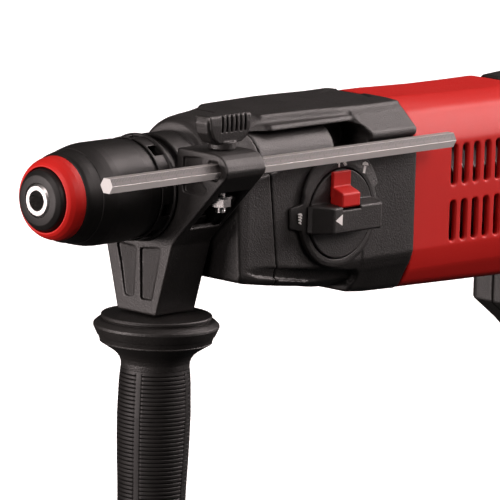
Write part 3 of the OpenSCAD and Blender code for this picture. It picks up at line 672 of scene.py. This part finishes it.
def housing_shape(g, t=0.0):
    """Outside of the motor housing, or with t the same outline moved in by a wall of t."""
    y = np.abs(g.y)
    side = [(-215, 32.0 - t), (-224, 32.6 - t), (-236, 32.5 - t), (-250, 31.7 - t), (-271, 30.8 - t),
            (-300, 30.6 - t), (-322, 30.9 - t), (-322, -66 + t), (-235, -62.8 + t), (-215, -62.2 + t)]
    side = poly(g.x, g.z, rounded(side, HOUSING_SIDE_R))
    cross = [(16 - t, 33 - t), (29.5 - t, 25.5 - t), (37.9 - t, 11), (37.9 - t, -42), (33.5 - t, -52),
             (24 - t, -67 + t)]
    cross = poly(g.y, g.z, rounded(mirrored(cross), HOUSING_CROSS_R + HOUSING_CROSS_R[::-1]))
    plan = [(-215, -5), (-215, 37.9 - t), (-296, 37.9 - t), (-314, 31 - t), (-322, 24 - t), (-322, -5)]
    plan = poly(g.x, y, rounded(plan, HOUSING_PLAN_R))
    return smax(smax(side, cross, 5), plan, 6)


VENT_X, VENT_WIDE, VENT_STEP, VENT_TALL = -248.4, 3.7, 8, 20
VENT_ROWS = (-40, -12)
HOUSING_WALL = 3.0
g = Grid((-323, -39.5, -67), (-220, 39.5, 35), 0.9)
y = np.abs(g.y)
shape = smax(housing_shape(g), g.x + 221.1, 0.6)
slots = None
for i in range(6):
    front = VENT_X - VENT_STEP * i
    back = front - VENT_WIDE
    for low in VENT_ROWS:
        vent = [(back, low), (front, low), (front, low + VENT_TALL), (back, low + VENT_TALL)]
        vent = drawn(poly(g.x, g.z, rounded(vent, 1.8)), y, 33, 60)
        slots = vent if slots is None else np.minimum(slots, vent)
# Shallow panel that frames the vents
frame_panel = poly(g.x, g.z, rounded([(-246, -44), (-298, -44), (-298, 12), (-246, 12)], 4))
shape = cut(shape, smax(frame_panel, 37.3 - y, 0.3), 0.6)
shape = cut(shape, smax(housing_shape(g, HOUSING_WALL), slab(g.x, -318.5, -200), 1), 0)
shape = cut(shape, slots, 0.7)
carve("motor_shell", g, shape, RED, "housing", ("motor_housing",))

# ------------------------------------------------------------------ rear handle

HANDLE = [
    (-321.5, 31), (-352, 33), (-378, 30), (-394, 21), (-404, 6), (-408, -12), (-407, -40), (-403, -70),
    (-399, -92), (-392, -106), (-381, -115), (-368, -117), (-354, -110), (-338, -96), (-321.5, -84)]
HANDLE_R = [0, 20, 12, 12, 12, 12, 30, 30, 12, 8, 8, 8, 10, 10, 0]
LOOP = [
    (-328, -6), (-345, -4), (-362, -6), (-372, -13), (-377, -24), (-376, -50), (-373, -72), (-368, -86),
    (-360, -90), (-350, -88), (-338, -78), (-330, -66), (-326, -50), (-325, -20)]
BOLTS = [(-336, 22), (-389, 12), (-389, -84), (-336, -84)]
LOCK_ON_X, LOCK_ON_Z = -388, -30
DIRECTION_X, DIRECTION_Z = -346, 12
GLAND_X = -382
HALF_GAP = 0.06


def pad_line(outline, y):
    """Inner face of the soft cover, a little deeper towards the sides."""
    return outline + 3.0 + 0.035 * (17 - y)


g = Grid((-409, -17.5, -118), (-321, 17.5, 34), 0.7)
y = np.abs(g.y)
outline = poly(g.x, g.z, rounded(HANDLE, HANDLE_R))
loop = poly(g.x, g.z, rounded(LOOP, 6))
shell = smax(smax(outline, y - 17, 7), -loop, 5)
wall_at = poly(g.x, g.z, rounded([(-350, 16.5), (-450, 16.5), (-450, -98.5), (-350, -98.5)], 3))
skin = smax(wall_at, -pad_line(outline, y), 0)
shell = cut(shell, skin, 0.4)
for bx, bz in BOLTS:
    shell = cut(shell, smax(bar(g.x, g.z, bx, bz, 4.4), 14.6 - y, 0), 0.5)
key_slot = poly(g.x, g.z, rounded([(-392, -48), (-360, -48), (-360, -9), (-392, -9)], 1))
shell = cut(shell, drawn(key_slot, g.y, -7.35, 7.35), 0.5)
shell = cut(shell, smax(bar(g.x, g.y, GLAND_X, 0, 8.1), g.z + 98, 0), 0.4)
shell = cut(shell, smax(bar(g.x, g.z, LOCK_ON_X, LOCK_ON_Z, 5.4), -(g.y - 4), 0), 0.5)
shell = cut(shell, smax(bar(g.x, g.z, DIRECTION_X, DIRECTION_Z, 5.2), -(g.y - 4), 0), 0.4)
# Hollow between the ribs, as in the two moulded halves
hollow = smax(smax(outline + 3.2, -(loop - 3.2), 1), y - 13.6, 1)
posts = np.minimum.reduce([bar(g.x, g.z, bx, bz, 6.5) for bx, bz in BOLTS])
hollow = smax(smax(hollow, -posts, 0.6), -(skin - 3.2), 0.6)
shell = cut(shell, hollow, 0)
carve("handle_shell_left", g, smax(shell, -(g.y - HALF_GAP), 0.35), BLACK, "housing",
      ("handle_left",))
carve("handle_shell_right", g, smax(shell, g.y + HALF_GAP, 0.35), BLACK, "housing",
      ("handle_right",))
g = Grid((-409, -17.5, -100), (-385, 17.5, 18), 0.5)
y = np.abs(g.y)
outline = poly(g.x, g.z, rounded(HANDLE, HANDLE_R))
wall_at = poly(g.x, g.z, rounded([(-350, 16.2), (-450, 16.2), (-450, -98.2), (-350, -98.2)], 3))
cover = smax(smax(smax(outline, y - 17, 7), wall_at, 0.8), -pad_line(outline, y), 0)
# Raised bars across the back of the soft cover
bars = np.abs(((g.z + 200) % 5.0) - 2.5) - 1.7
ridges = smax(bars, -(outline + 0.55), 0)
cover = cut(cover, smax(ridges, smax(slab(g.z, -90, 8), y - 13, 1), 0.3), 0.3)
carve("grip_cover_pad", g, cover, RUBBER, "housing", ("grip_cover",))

# Switch controls
KEY = [(-365, -12), (-381, -12), (-381, -46), (-366, -46), (-363, -40), (-367.5, -28), (-366.5, -18)]
g = Grid((-382, -8, -47), (-362, 8, -11), 0.35)
key = drawn(poly(g.x, g.z, rounded(KEY, [1.5, 0.5, 0.5, 2, 3, 12, 8])), g.y, -7, 7, 1.8)
for k in range(5):
    rib = -36.5 + 4 * k
    key = cut(key, smax(slab(g.z, rib - 0.45, rib + 0.45), -(g.x + 368.3), 0), 0.3)
carve("trigger_key", g, key, RED, "trigger_key", ("trigger",))
stud = rounded([(9.5, 0), (9.5, 5), (19.5, 5), (19.5, 0)], [0, 0.4, 1.2, 0])
v, f = turn(stud, "y", (LOCK_ON_X, 0, LOCK_ON_Z), 96)
make("lock_on_stud", v, f, BLACK_FINE, "lock_on_key", ("lock_on_button",), sharp=40)
g = Grid((-355, 5, 3), (-337, 22, 25), 0.3)
pivot = smax(bar(g.x, g.z, DIRECTION_X, DIRECTION_Z, 5), slab(g.y, 6, 18), 0.3)
collar = smax(bar(g.x, g.z, DIRECTION_X, DIRECTION_Z, 8), slab(g.y, 17.3, 19.5), 0.5)
paddle = poly(g.x, g.z, rounded([(-349, 12), (-343, 12), (-343.6, 24), (-348.4, 24)], 1.5))
lever = smin(smin(pivot, collar, 0.3), drawn(paddle, g.y, 17.4, 21.5, 0.8), 0.8)
carve("direction_key", g, lever, BLACK_FINE, "direction_key", ("direction_lever",))
gland = [(-100, 4), (-100, 7.9), (-116, 7.9)]
for k in range(3):
    gland += [(-116.4 - 2 * k, 6.9), (-117.6 - 2 * k, 6.9), (-118 - 2 * k, 7.7 - 0.3 * k)]
gland += [(-122, 6.4), (-122, 4)]
v, f = turn(rounded(gland, 0.25), "z", (GLAND_X, 0, 0), 96)
make("gland_sleeve", v, f, RUBBER, "housing", ("cable_gland",), sharp=50)

# ------------------------------------------------------------------ chuck

# Profiles of (station, radius) along the tool's axis, each with the radii of its corners
DUST_LIP = [
    (-0.4, 8.3), (-0.8, 12), (-2.4, 14.2), (-5, 15), (-12, 15), (-12, 9.6), (-9.9, 9.6), (-9.9, 8.1),
    (-1.2, 8.1)]
DUST_LIP_R = [0.4, 1.5, 1.5, 1, 0.2, 0, 0, 0, 0.3]
SLEEVE_NOSE = [
    (-4.5, 15.6), (-4.3, 16.2), (-5.4, 17.6), (-7.5, 18.9), (-10, 19.8), (-13.1, 20.2), (-13.1, 17.9),
    (-20, 17.9), (-20, 15.6)]
SLEEVE_NOSE_R = [0.3, 0.8, 2, 3, 3, 0.2, 0, 0, 0]
SLEEVE = [
    (-13.2, 20.0), (-13.7, 20.6), (-15, 21.3), (-18, 21.95), (-22, 22.5), (-22.15, 22.9), (-26, 23.8),
    (-29.5, 24.45), (-33, 24.7), (-51.8, 24.7), (-52.3, 24.0), (-59.3, 24.0), (-59.5, 21.5),
    (-39, 21.5), (-39, 10.85), (-34.5, 10.85), (-26, 13.4), (-26, 18), (-13.2, 18)]
SLEEVE_R = [0.3, 0.6, 3, 3, 0.12, 0.3, 3, 3, 3, 0.3, 0.3, 0.3, 0.2, 0, 0, 0, 0, 0, 0]
DETENT = [
    (-67.7, 21.1), (-67.7, 26), (-66.4, 26), (-66.2, 25), (-58.8, 25), (-58.8, 24.3), (-66.0, 24.3),
    (-66.0, 21.1)]
DETENT_R = [0, 0.4, 0.3, 0.1, 0.2, 0.2, 0, 0]
DETENT_HALF_STEP = math.pi / 10  # ten windows around the ring

v, f = turn(rounded(DUST_LIP, DUST_LIP_R), n=160)
make("dust_lip", v, f, RUBBER, "tool_holder", ("dust_cap",), sharp=45)
v, f = turn(rounded(SLEEVE_NOSE, SLEEVE_NOSE_R), n=200)
make("sleeve_nose", v, f, RED, "sleeve", ("sleeve_cap",), sharp=45)
v, f = turn(rounded(SLEEVE, SLEEVE_R), n=200)
make("sleeve_shell", v, f, BLACK_FINE, "sleeve", ("locking_sleeve",), sharp=40)

g = Grid((-68.2, -26.5, -26.5), (-58, 26.5, 26.5), 0.32)
rad = np.hypot(g.y, g.z)
angle = np.arctan2(g.z, g.y)
detent = poly(g.x, rad, rounded(DETENT, DETENT_R))
from_window = np.abs((angle + DETENT_HALF_STEP) % (2 * DETENT_HALF_STEP) - DETENT_HALF_STEP) * rad
window = smax(smax(4.6 - from_window, slab(g.x, -66.1, -60.2), 0.3), 23.4 - rad, 0)
detent = cut(detent, window, 0.25)
carve("detent_ring", g, detent, BLACK_FINE, "housing", ("index_ring",))

# ------------------------------------------------------------------ side handle bracket

FRONT = [
    (24.4, 22.4), (49.0, 22.4), (52.6, 21.7), (55.4, 19.9), (57.3, 17.3), (58.15, 14.4), (57.3, 11.6),
    (26.8, -20.7), (22.8, -25.4), (13, -60.9), (-13, -60.9), (-22.8, -25.4), (-29, -14), (-29, -3),
    (0, -3), (24.4, 8)]
FRONT_R = [1.5, 4, 3, 3, 3, 3, 3, 5, 5, 1, 1, 5, 3, 3, 0, 2]
CLAMP_X = -82.0  # middle of the clamp, of its screw and of the grip
SCREW_Y = 40.6
ROD_Y, ROD_Z = 48.5, 14
g = Grid((-101, -30, -62), (-67.5, 59, 24), 0.46)
rad = np.hypot(g.y, g.z)
outline = poly(g.y, g.z, rounded(FRONT, FRONT_R))
solid = smax(smax(smax(outline, -(rad - 25.5), 0.5), g.x + 68, 0.9), -95.6 - g.x, 2.6)
# Open back, walled round the outline, the neck and the rod
inner_out = smax(outline + 3.0, -(rad - 28.5), 1.0)
cavity = smax(drawn(inner_out, g.x, -110, -71.2, 1.0), -bar(g.y, g.z, ROD_Y, ROD_Z, 9.5), 1.0)
cavity = smax(smax(cavity, g.z + 2.2, 1.0), -(g.z + 50.5), 1.0)
solid = cut(solid, cavity, 0.6)
# Seats of the nose and the neck, then room for the strap
solid = cut(solid, smax(bar(g.y, g.z, 0, 0, 33.4), g.x + 88.6, 0), 0.4)
solid = cut(solid, smax(bar(g.y, g.z, 0, 0, 26.1), g.x + 74.6, 0), 0.3)
solid = cut(solid, box(g, (-89.5, -18.3, -36), (-74.6, 18.3, -15)), 0.2)
solid = cut(solid, box(g, (-90.5, -9, -37), (-73.5, 9, -25)), 0.2)
# Window through the slanting side
c, s = math.cos(math.radians(47)), math.sin(math.radians(47))
along = (g.y - 40) * c + (g.z + 6) * s
across = -(g.y - 40) * s + (g.z + 6) * c
window = smax(smax(slab(g.x, -92.6, -72.6), slab(along, -14.5, 12.5), 1.0), slab(across, -10, 10), 0)
solid = cut(solid, window, 0.7)
# Six-sided hole of the rod, with a wider mouth
hexagon = np.maximum.reduce([
    np.abs((g.y - ROD_Y) * math.cos(a) + (g.z - ROD_Z) * math.sin(a))
    for a in (math.pi / 2, math.pi / 6, -math.pi / 6)])
solid = cut(solid, hexagon - 3.75, 0.25)
solid = cut(solid, smax(hexagon - 4.6, -(g.x + 69.4), 0), 0.3)
# Holes of the wing screw and the grip bolt, and the seat of the nut
solid = cut(solid, smax(bar(g.x, g.y, CLAMP_X, SCREW_Y, 2.8), slab(g.z, -30, 30), 0), 0.2)
solid = cut(solid, smax(bar(g.x, g.y, CLAMP_X, 0, 4.4), slab(g.z, -70, -40), 0), 0)
solid = cut(solid, smax(bar(g.x, g.y, CLAMP_X, SCREW_Y, 7), slab(g.z, -6, 0.3), 0), 0.2)
# Sunk panels of the front face
PANELS = [
    ([(28.6, 18.3), (41.5, 19.6), (40.3, 13.2), (28.6, 11.2)], 1.0),
    ([(28.8, 5.6), (40.6, 8.0), (45.0, 4.6), (42.8, 1.6), (29.4, 1.8)], 1.5),
    ([(-14.6, -28.6), (-0.9, -29.0), (-2.0, -53.2), (-8.0, -53.4), (-11.6, -38)], 1.3),
    ([(1.4, -29.4), (15.6, -27.4), (10.0, -53.6), (2.6, -53.8)], 1.3),
]
for points, r in PANELS:
    panel = poly(g.y, g.z, rounded(points, r))
    # A wedge, deepest where y is least
    least, most = min(q[0] for q in points), max(q[0] for q in points)
    sunk = np.interp(g.y, [least + 1.0, most - 0.6], [1.5, 0.1])
    solid = cut(solid, smax(panel, -(g.x + 68.0 + sunk), 0.2), 0.25)
carve("side_bracket", g, solid, BLACK, "side_handle", ("handle_bracket",))

# Strap round the neck
g = Grid((-88.5, -26, -35.5), (-74.5, 26, 26), 0.4)
rad = np.hypot(g.y, g.z)
strap = smax(np.abs(rad - 24.1) - 1.1, slab(g.x, -88, -75), 0.4)
strap = cut(strap, smax(np.abs(g.y) - 16.6, g.z, 0), 0)
legs = smax(smax(np.abs(np.abs(g.y) - 16.5) - 1.1, slab(g.z, -33, -17.2), 0), slab(g.x, -88, -75), 0.3)
foot = smax(smax(np.abs(g.y) - 17.6, slab(g.z, -35, -32), 0.4), slab(g.x, -88, -75), 0.4)
strap = smin(np.minimum(strap, legs), foot, 0.8)
strap = cut(strap, bar(g.x, g.y, CLAMP_X, 0, 4.1) + np.maximum(g.z + 25, 0) * 10, 0.2)
carve("neck_strap", g, strap, BLACK_FINE, "strap", ("clamp_band",))

# Grip: domed head, flange, waist
CORE = [
    (-61.3, 0), (-61.5, 9), (-62.1, 18), (-63.0, 26.5), (-63.6, 26.8), (-64.6, 26.7), (-65.4, 26.0),
    (-65.6, 28.0), (-66.2, 28.8), (-67.6, 30.3), (-68.8, 30.4), (-72.9, 28.5), (-73.1, 28.1),
    (-75.7, 27.0), (-75.9, 27.15), (-76.3, 27.1), (-77.0, 26.0), (-78.5, 23.6), (-80.2, 20.9),
    (-82, 18.8), (-84, 17.4), (-86, 16.7), (-89, 16.55), (-89, 12), (-171, 12), (-171, 0)]
CORE_R = [
    0, 4, 4, 0.3, 0.2, 0.3, 0.1, 0.3, 0.6, 0.5, 0.5, 0.25, 0.25, 0.15, 0.1, 0.15, 0.8,
    2, 2, 2, 2, 2, 0.2, 0, 0, 0]
v, f = turn(rounded(CORE, CORE_R), "z", (CLAMP_X, 0, 0), 200)
make("grip_head", v, f, BLACK, "side_grip", ("grip_core",), sharp=32)

GRIP_TOP, RIBS_END, GRIP_FOOT = -89.0, -169.0, -183.0
GRIP_SIDE = [
    (-89.0, 16.7), (-92, 17.05), (-96, 17.35), (-111, 17.8), (-123, 17.6), (-135, 17.2), (-146, 16.7),
    (-156, 16.4), (-163, 16.9), (-168, 18.4), (-172, 20.4), (-175, 21.3), (-177, 21.6), (-179.5, 21.3),
    (-181.5, 20.3), (-182.6, 18.8)]
GRIP_STRIPS = np.radians([18, 108, 198, 288])
RIB_STEP, RIB_DEPTH = 2.0, 0.75


def ease(t):
    """Smooth step from 0 to 1."""
    t = np.clip(t, 0, 1)
    return t * t * (3 - 2 * t)


def grip_mesh():
    """Rubber grip with fine cross ribs broken by four smooth strips."""
    n = 216
    stations = np.concatenate([np.arange(GRIP_TOP, RIBS_END - 0.01, -0.2),
                               np.arange(-169.4, -182.6, -0.6)])
    base = np.interp(-stations, [-p[0] for p in GRIP_SIDE], [p[1] for p in GRIP_SIDE])
    # Points crowd together beside the strips, where the ribs end
    even = np.arange(n) * 2 * math.pi / n - GRIP_STRIPS[0]
    theta = even + GRIP_STRIPS[0] - 0.13 * np.sin(4 * even)
    away = (theta[:, None] - GRIP_STRIPS[None, :] + math.pi) % (2 * math.pi) - math.pi
    offset = np.min(np.abs(away), axis=1)

    def ring(z, r):
        return np.stack([r * np.cos(theta), r * np.sin(theta), np.full(n, z)], 1)

    verts = []
    for z, r in zip(stations, base):
        dist = offset * r
        # 1 on the ribbed fields, 0 on the smooth strips
        field = ease((dist - 1.45) / 0.35)
        phase = ((GRIP_TOP - z) % RIB_STEP) / RIB_STEP
        rib = ease((0.5 - abs(phase - 0.5)) * 6.0)
        fade = min(1.0, max(0.0, (-z - 89.6) / 0.5)) * min(1.0, max(0.0, (z - RIBS_END) / 2.0))
        edge = np.exp(-((dist - 1.75) / 0.25) ** 2) * 0.25 * fade
        verts.append(ring(z, r - RIB_DEPTH * (1 - rib) * fade * field - edge))
    # Foot, then up the inside of the sleeve to where it began
    for z, r in ((-182.95, 17.2), (GRIP_FOOT, 15.0), (GRIP_FOOT, 4.0), (-171.0, 4.0), (-171.0, 12.0),
                 (GRIP_TOP, 12.0)):
        verts.append(ring(z, r))
    m = len(verts)
    v = np.vstack(verts)
    i = np.arange(m)[:, None] * n
    k = np.arange(n)[None, :]
    j = (np.arange(m)[:, None] + 1) % m * n
    after = (k + 1) % n
    quads = np.stack([i + k, j + k, j + after, i + after], -1).reshape(-1, 4)
    # The outer faces must look outwards
    a, b, c = v[quads[:, 0]], v[quads[:, 1]], v[quads[:, 2]]
    outer = (np.hypot(a[:, 0], a[:, 1]) > 15)[:, None]
    if float(np.sum(np.cross(b - a, c - a)[:, :2] * a[:, :2] * outer)) < 0:
        quads = quads[:, ::-1]
    return v + np.array([CLAMP_X, 0, 0]), np.ascontiguousarray(quads)


v, f = grip_mesh()
make("grip_rubber", v, f, RUBBER, "side_grip", ("grip_sleeve",), sharp=60)

# Clamp screw with its ribbed wing
WING = [
    (-96.9, 36.2), (-95.8, 39.75), (-68.2, 39.75), (-67.1, 36.2), (-68.0, 31.0), (-71.0, 26.9),
    (-75.0, 25.1), (-89.0, 25.1), (-93.0, 26.9), (-96.0, 31.0)]
WING_END = [
    (36.2, 36.2), (36.7, 39.75), (44.5, 39.75), (45.0, 36.2), (44.7, 30.5), (44.2, 25.1), (37.0, 25.1),
    (36.5, 30.5)]
PAD = [
    (-95.9, 39.7), (-68.0, 39.7), (-69.0, 33.4), (-71.2, 29.0), (-75.0, 25.9), (-90.0, 25.9),
    (-93.4, 28.2), (-95.5, 32.6)]
PAD_END = [
    (35.0, 35), (35.4, 38.8), (36.6, 39.7), (44.6, 39.7), (45.8, 38.8), (46.2, 35), (45.4, 25.8),
    (35.8, 25.8)]
THREAD_R, THREAD_DEEP, THREAD_PITCH = 2.35, 0.14, 0.8
g = Grid((-98, 33.5, -9), (-66, 49.5, 42), 0.3)
wing = poly(g.x, g.z, rounded(WING, [2, 1.2, 1.2, 2, 3, 3, 2, 2, 3, 3]))
wing = smax(wing, poly(g.y, g.z, rounded(WING_END, 1.0)), 1.2)
pad = drawn(poly(g.x, g.z, rounded(PAD, [1, 1, 2, 2, 2, 2, 2, 2])), g.y, 35.0, 46.2, 0.8)
pad = smax(pad, poly(g.y, g.z, rounded(PAD_END, 0.8)), 0.5)
wing = smin(wing, pad, 0.3)
for k in range(6):
    groove_x = -84.2 + (k - 2.5) * 3.05
    groove = smax(np.abs(g.x - groove_x) - 0.6, 31.2 - g.z, 0.5)
    wing = cut(wing, smax(groove, 4.2 - np.abs(g.y - SCREW_Y), 0.2), 0.25)
hub = smax(bar(g.x, g.y, CLAMP_X, SCREW_Y, 6.5), slab(g.z, 22.7, 26.6), 0.5)
wing = smin(wing, hub, 0.6)
thread = THREAD_R + THREAD_DEEP * np.sin(g.z * 2 * math.pi / THREAD_PITCH)
stem = smax(bar(g.x, g.y, CLAMP_X, SCREW_Y, thread), slab(g.z, -8, 23.5), 0.4)
carve("wing_head", g, wing, BLACK, "wing_screw", ("wing_knob",))
carve("wing_stud", g, stem, STEEL, "wing_screw")

# ------------------------------------------------------------------ selector

BEZEL_TAB_FRONT = [(-132, -11.7), (-142.5, -9.5), (-142.5, -24), (-132.6, -22)]
BEZEL_TAB_TOP = [(-160.3, 2), (-160.3, 8.4), (-177.7, 8.4), (-185.4, 6.5), (-187.8, -2.7), (-180, -6)]
g = Grid((-193, 37.4, -45), (-130, 40.6, 14), 0.3)
flat = bar(g.x, g.z, KNOB_X, KNOB_Z, 26.5)
flat = smin(flat, smax(bar(g.x, g.z, -166.5, -12.5, 27.0), -(g.z + 6), 2), 2)
tabs = np.minimum(poly(g.x, g.z, rounded(BEZEL_TAB_FRONT, 1.2)),
                  poly(g.x, g.z, rounded(BEZEL_TAB_TOP, [1, 1.5, 2, 2, 2, 1])))
flat = smin(flat, tabs, 0.8)
dish = 40.2 - 0.2 * np.maximum(np.hypot(g.x - KNOB_X, g.z - KNOB_Z) - 24.5, 0)
bezel = smax(smax(flat, g.y - dish, 0.5), 37.5 - g.y, 0)
bezel = cut(bezel, bar(g.x, g.z, KNOB_X, KNOB_Z, 22.35), 0.35)
carve("selector_bezel", g, bezel, BLACK, "housing", ("mode_ring",))

# Finger bar: drafted long sides, the nose end with a big chamfer
BAR = [(-141.8, 40.5), (-142.6, 43.0), (-150.2, 49.8), (-151.5, 50.2), (-183.6, 50.2), (-184.6, 49.4),
       (-186.5, 40.5)]
g = Grid((-188, 29.5, -40), (-141, 50.5, 6), 0.3)
disc = smax(bar(g.x, g.z, KNOB_X, KNOB_Z, 21.75), slab(g.y, 38.3, 41.0), 0.5)
stem = smax(bar(g.x, g.z, KNOB_X, KNOB_Z, 6), slab(g.y, 30, 39), 0.3)
inplan = poly(g.x, g.y, rounded(BAR, [0, 1, 1.5, 0.5, 0.7, 0.7, 0]))
c, s = math.cos(math.radians(7)), math.sin(math.radians(7))
top_face = (g.z + 11.9) * c + (g.y - 50) * s
low_face = -(g.z + 24.6) * c + (g.y - 50) * 0.03
knob = smax(smax(inplan, top_face, 0.9), low_face, 0.9)
knob = smax(knob, 40.0 - g.y, 0)
knob = smin(smin(disc, knob, 0.5), stem, 0.3)
knob = cut(knob, box(g, (-169.3, 41.0, -13.5), (-156.7, 51, -8)), 0.3)
knob = cut(knob, smax(bar(g.x, g.z, KNOB_X, KNOB_Z, 3), g.y - 36, 0), 0)
carve("selector_knob", g, knob, BLACK, "selector", ("mode_knob",))

# Lock button: its front face stands tall and its back slopes down to the strip
BUTTON = [(41.05, -12.4), (49.0, -12.4), (49.7, -11.6), (49.7, -6.0), (48.9, -5.2), (43.2, -3.2),
          (41.05, -3.2)]
BUTTON_X = (-169.1, -156.9)
g = Grid((-170.5, 40.5, -13.5), (-156, 50.5, 6.5), 0.2)
strip = smax(smax(slab(g.x, *BUTTON_X), slab(g.y, 41.05, 43.0), 0.5), slab(g.z, -8, 4.2), 0.5)
button = poly(g.y, g.z, rounded(BUTTON, [0, 0.6, 0.3, 0.6, 0.5, 1.0, 0]))
button = smin(strip, smax(button, slab(g.x, *BUTTON_X), 0.7), 0.7)
carve("selector_button", g, button, RED, "selector_lock", ("lock_button",))


def decal(name, polys, y0, y1, body):
    """Thin printed marks between two stations, standing a hair proud of the face."""
    verts, faces = [], []
    for pts in polys:
        n = len(pts)
        base = len(verts)
        area = sum(pts[i][0] * pts[(i + 1) % n][1] - pts[(i + 1) % n][0] * pts[i][1] for i in range(n))
        if area > 0:
            pts = pts[::-1]
        verts += [(p[0], y1, p[1]) for p in pts] + [(p[0], y0, p[1]) for p in pts]
        faces.append(tuple(base + i for i in range(n)))
        faces.append(tuple(base + n + i for i in reversed(range(n))))
        for i in range(n):
            j = (i + 1) % n
            faces.append((base + i, base + n + i, base + n + j, base + j))
    make(name, verts, faces, PAINT, body, sharp=30)


pointer = rounded([(-151.6, -17.9), (-156.4, -15.2), (-156.4, -20.7)], 0.15)
decal("pointer_mark", [pointer], 50.0, 50.27, "selector")


def turned(shapes, cx, cz, lean):
    """Outlines leant over about their middle."""
    c, s = math.cos(lean), math.sin(lean)

    def move(x, z):
        return cx + (x - cx) * c - (z - cz) * s, cz + (x - cx) * s + (z - cz) * c

    return [[move(x, z) for x, z in pts] for pts in shapes]


def drill_mark(cx, cz, h, w, lean=0.0):
    """Small spiral-drill sign: slanted flutes that narrow to a tip."""
    out = []
    for k in range(4):
        z = cz + h * (0.42 - 0.26 * k)
        half = w * (0.5 - 0.06 * k)
        t = h * 0.085
        out.append([(cx - half, z - 0.6 * t), (cx - half * 0.4, z + 1.6 * t),
                    (cx + half, z + 1.4 * t), (cx + half, z + 0.2 * t),
                    (cx - half * 0.2, z - 1.0 * t), (cx - half, z - 2.0 * t)])
    return turned(out, cx, cz, lean)


def hammer_mark(cx, cz, h, w, lean=0.0):
    """Small hammer sign with a curved head."""
    head = [(-0.5, 0.22), (-0.36, 0.44), (0.1, 0.5), (0.5, 0.34), (0.5, 0.14), (0.1, 0.2),
            (-0.22, 0.22)]
    grip = [(-0.17, 0.16), (0.17, 0.16), (0.2, -0.5), (-0.2, -0.5)]
    sized = [[(cx + w * x, cz + h * z) for x, z in pts] for pts in (head, grip)]
    return turned(sized, cx, cz, lean)


marks = drill_mark(-137.3, -17.1, 5.2, 2.9)
marks += drill_mark(-167.4, 7.3, 2.9, 2.6, -0.5) + hammer_mark(-163.3, 7.3, 2.9, 2.9)
marks += hammer_mark(-181.6, 3.9, 5.6, 4.2, 0.25)
decal("mode_marks", marks, 40.0, 40.24, "housing")

# ------------------------------------------------------------------ what stays from the CAD

slot_of = {p["node"]: p["material_slot"] for p in frame["record"]["subparts"]}
own_looks = {"depth_rod": ROD, "clamp_nut": STEEL, "band_bolt": STEEL}
bevels = {"depth_rod": 0.22, "clamp_nut": 0.25, "band_bolt": 0.3}
for node in frame["nodes"]:
    dress(node, own_looks.get(node, CAD_LOOKS[slot_of[node]]), bevels.get(node))
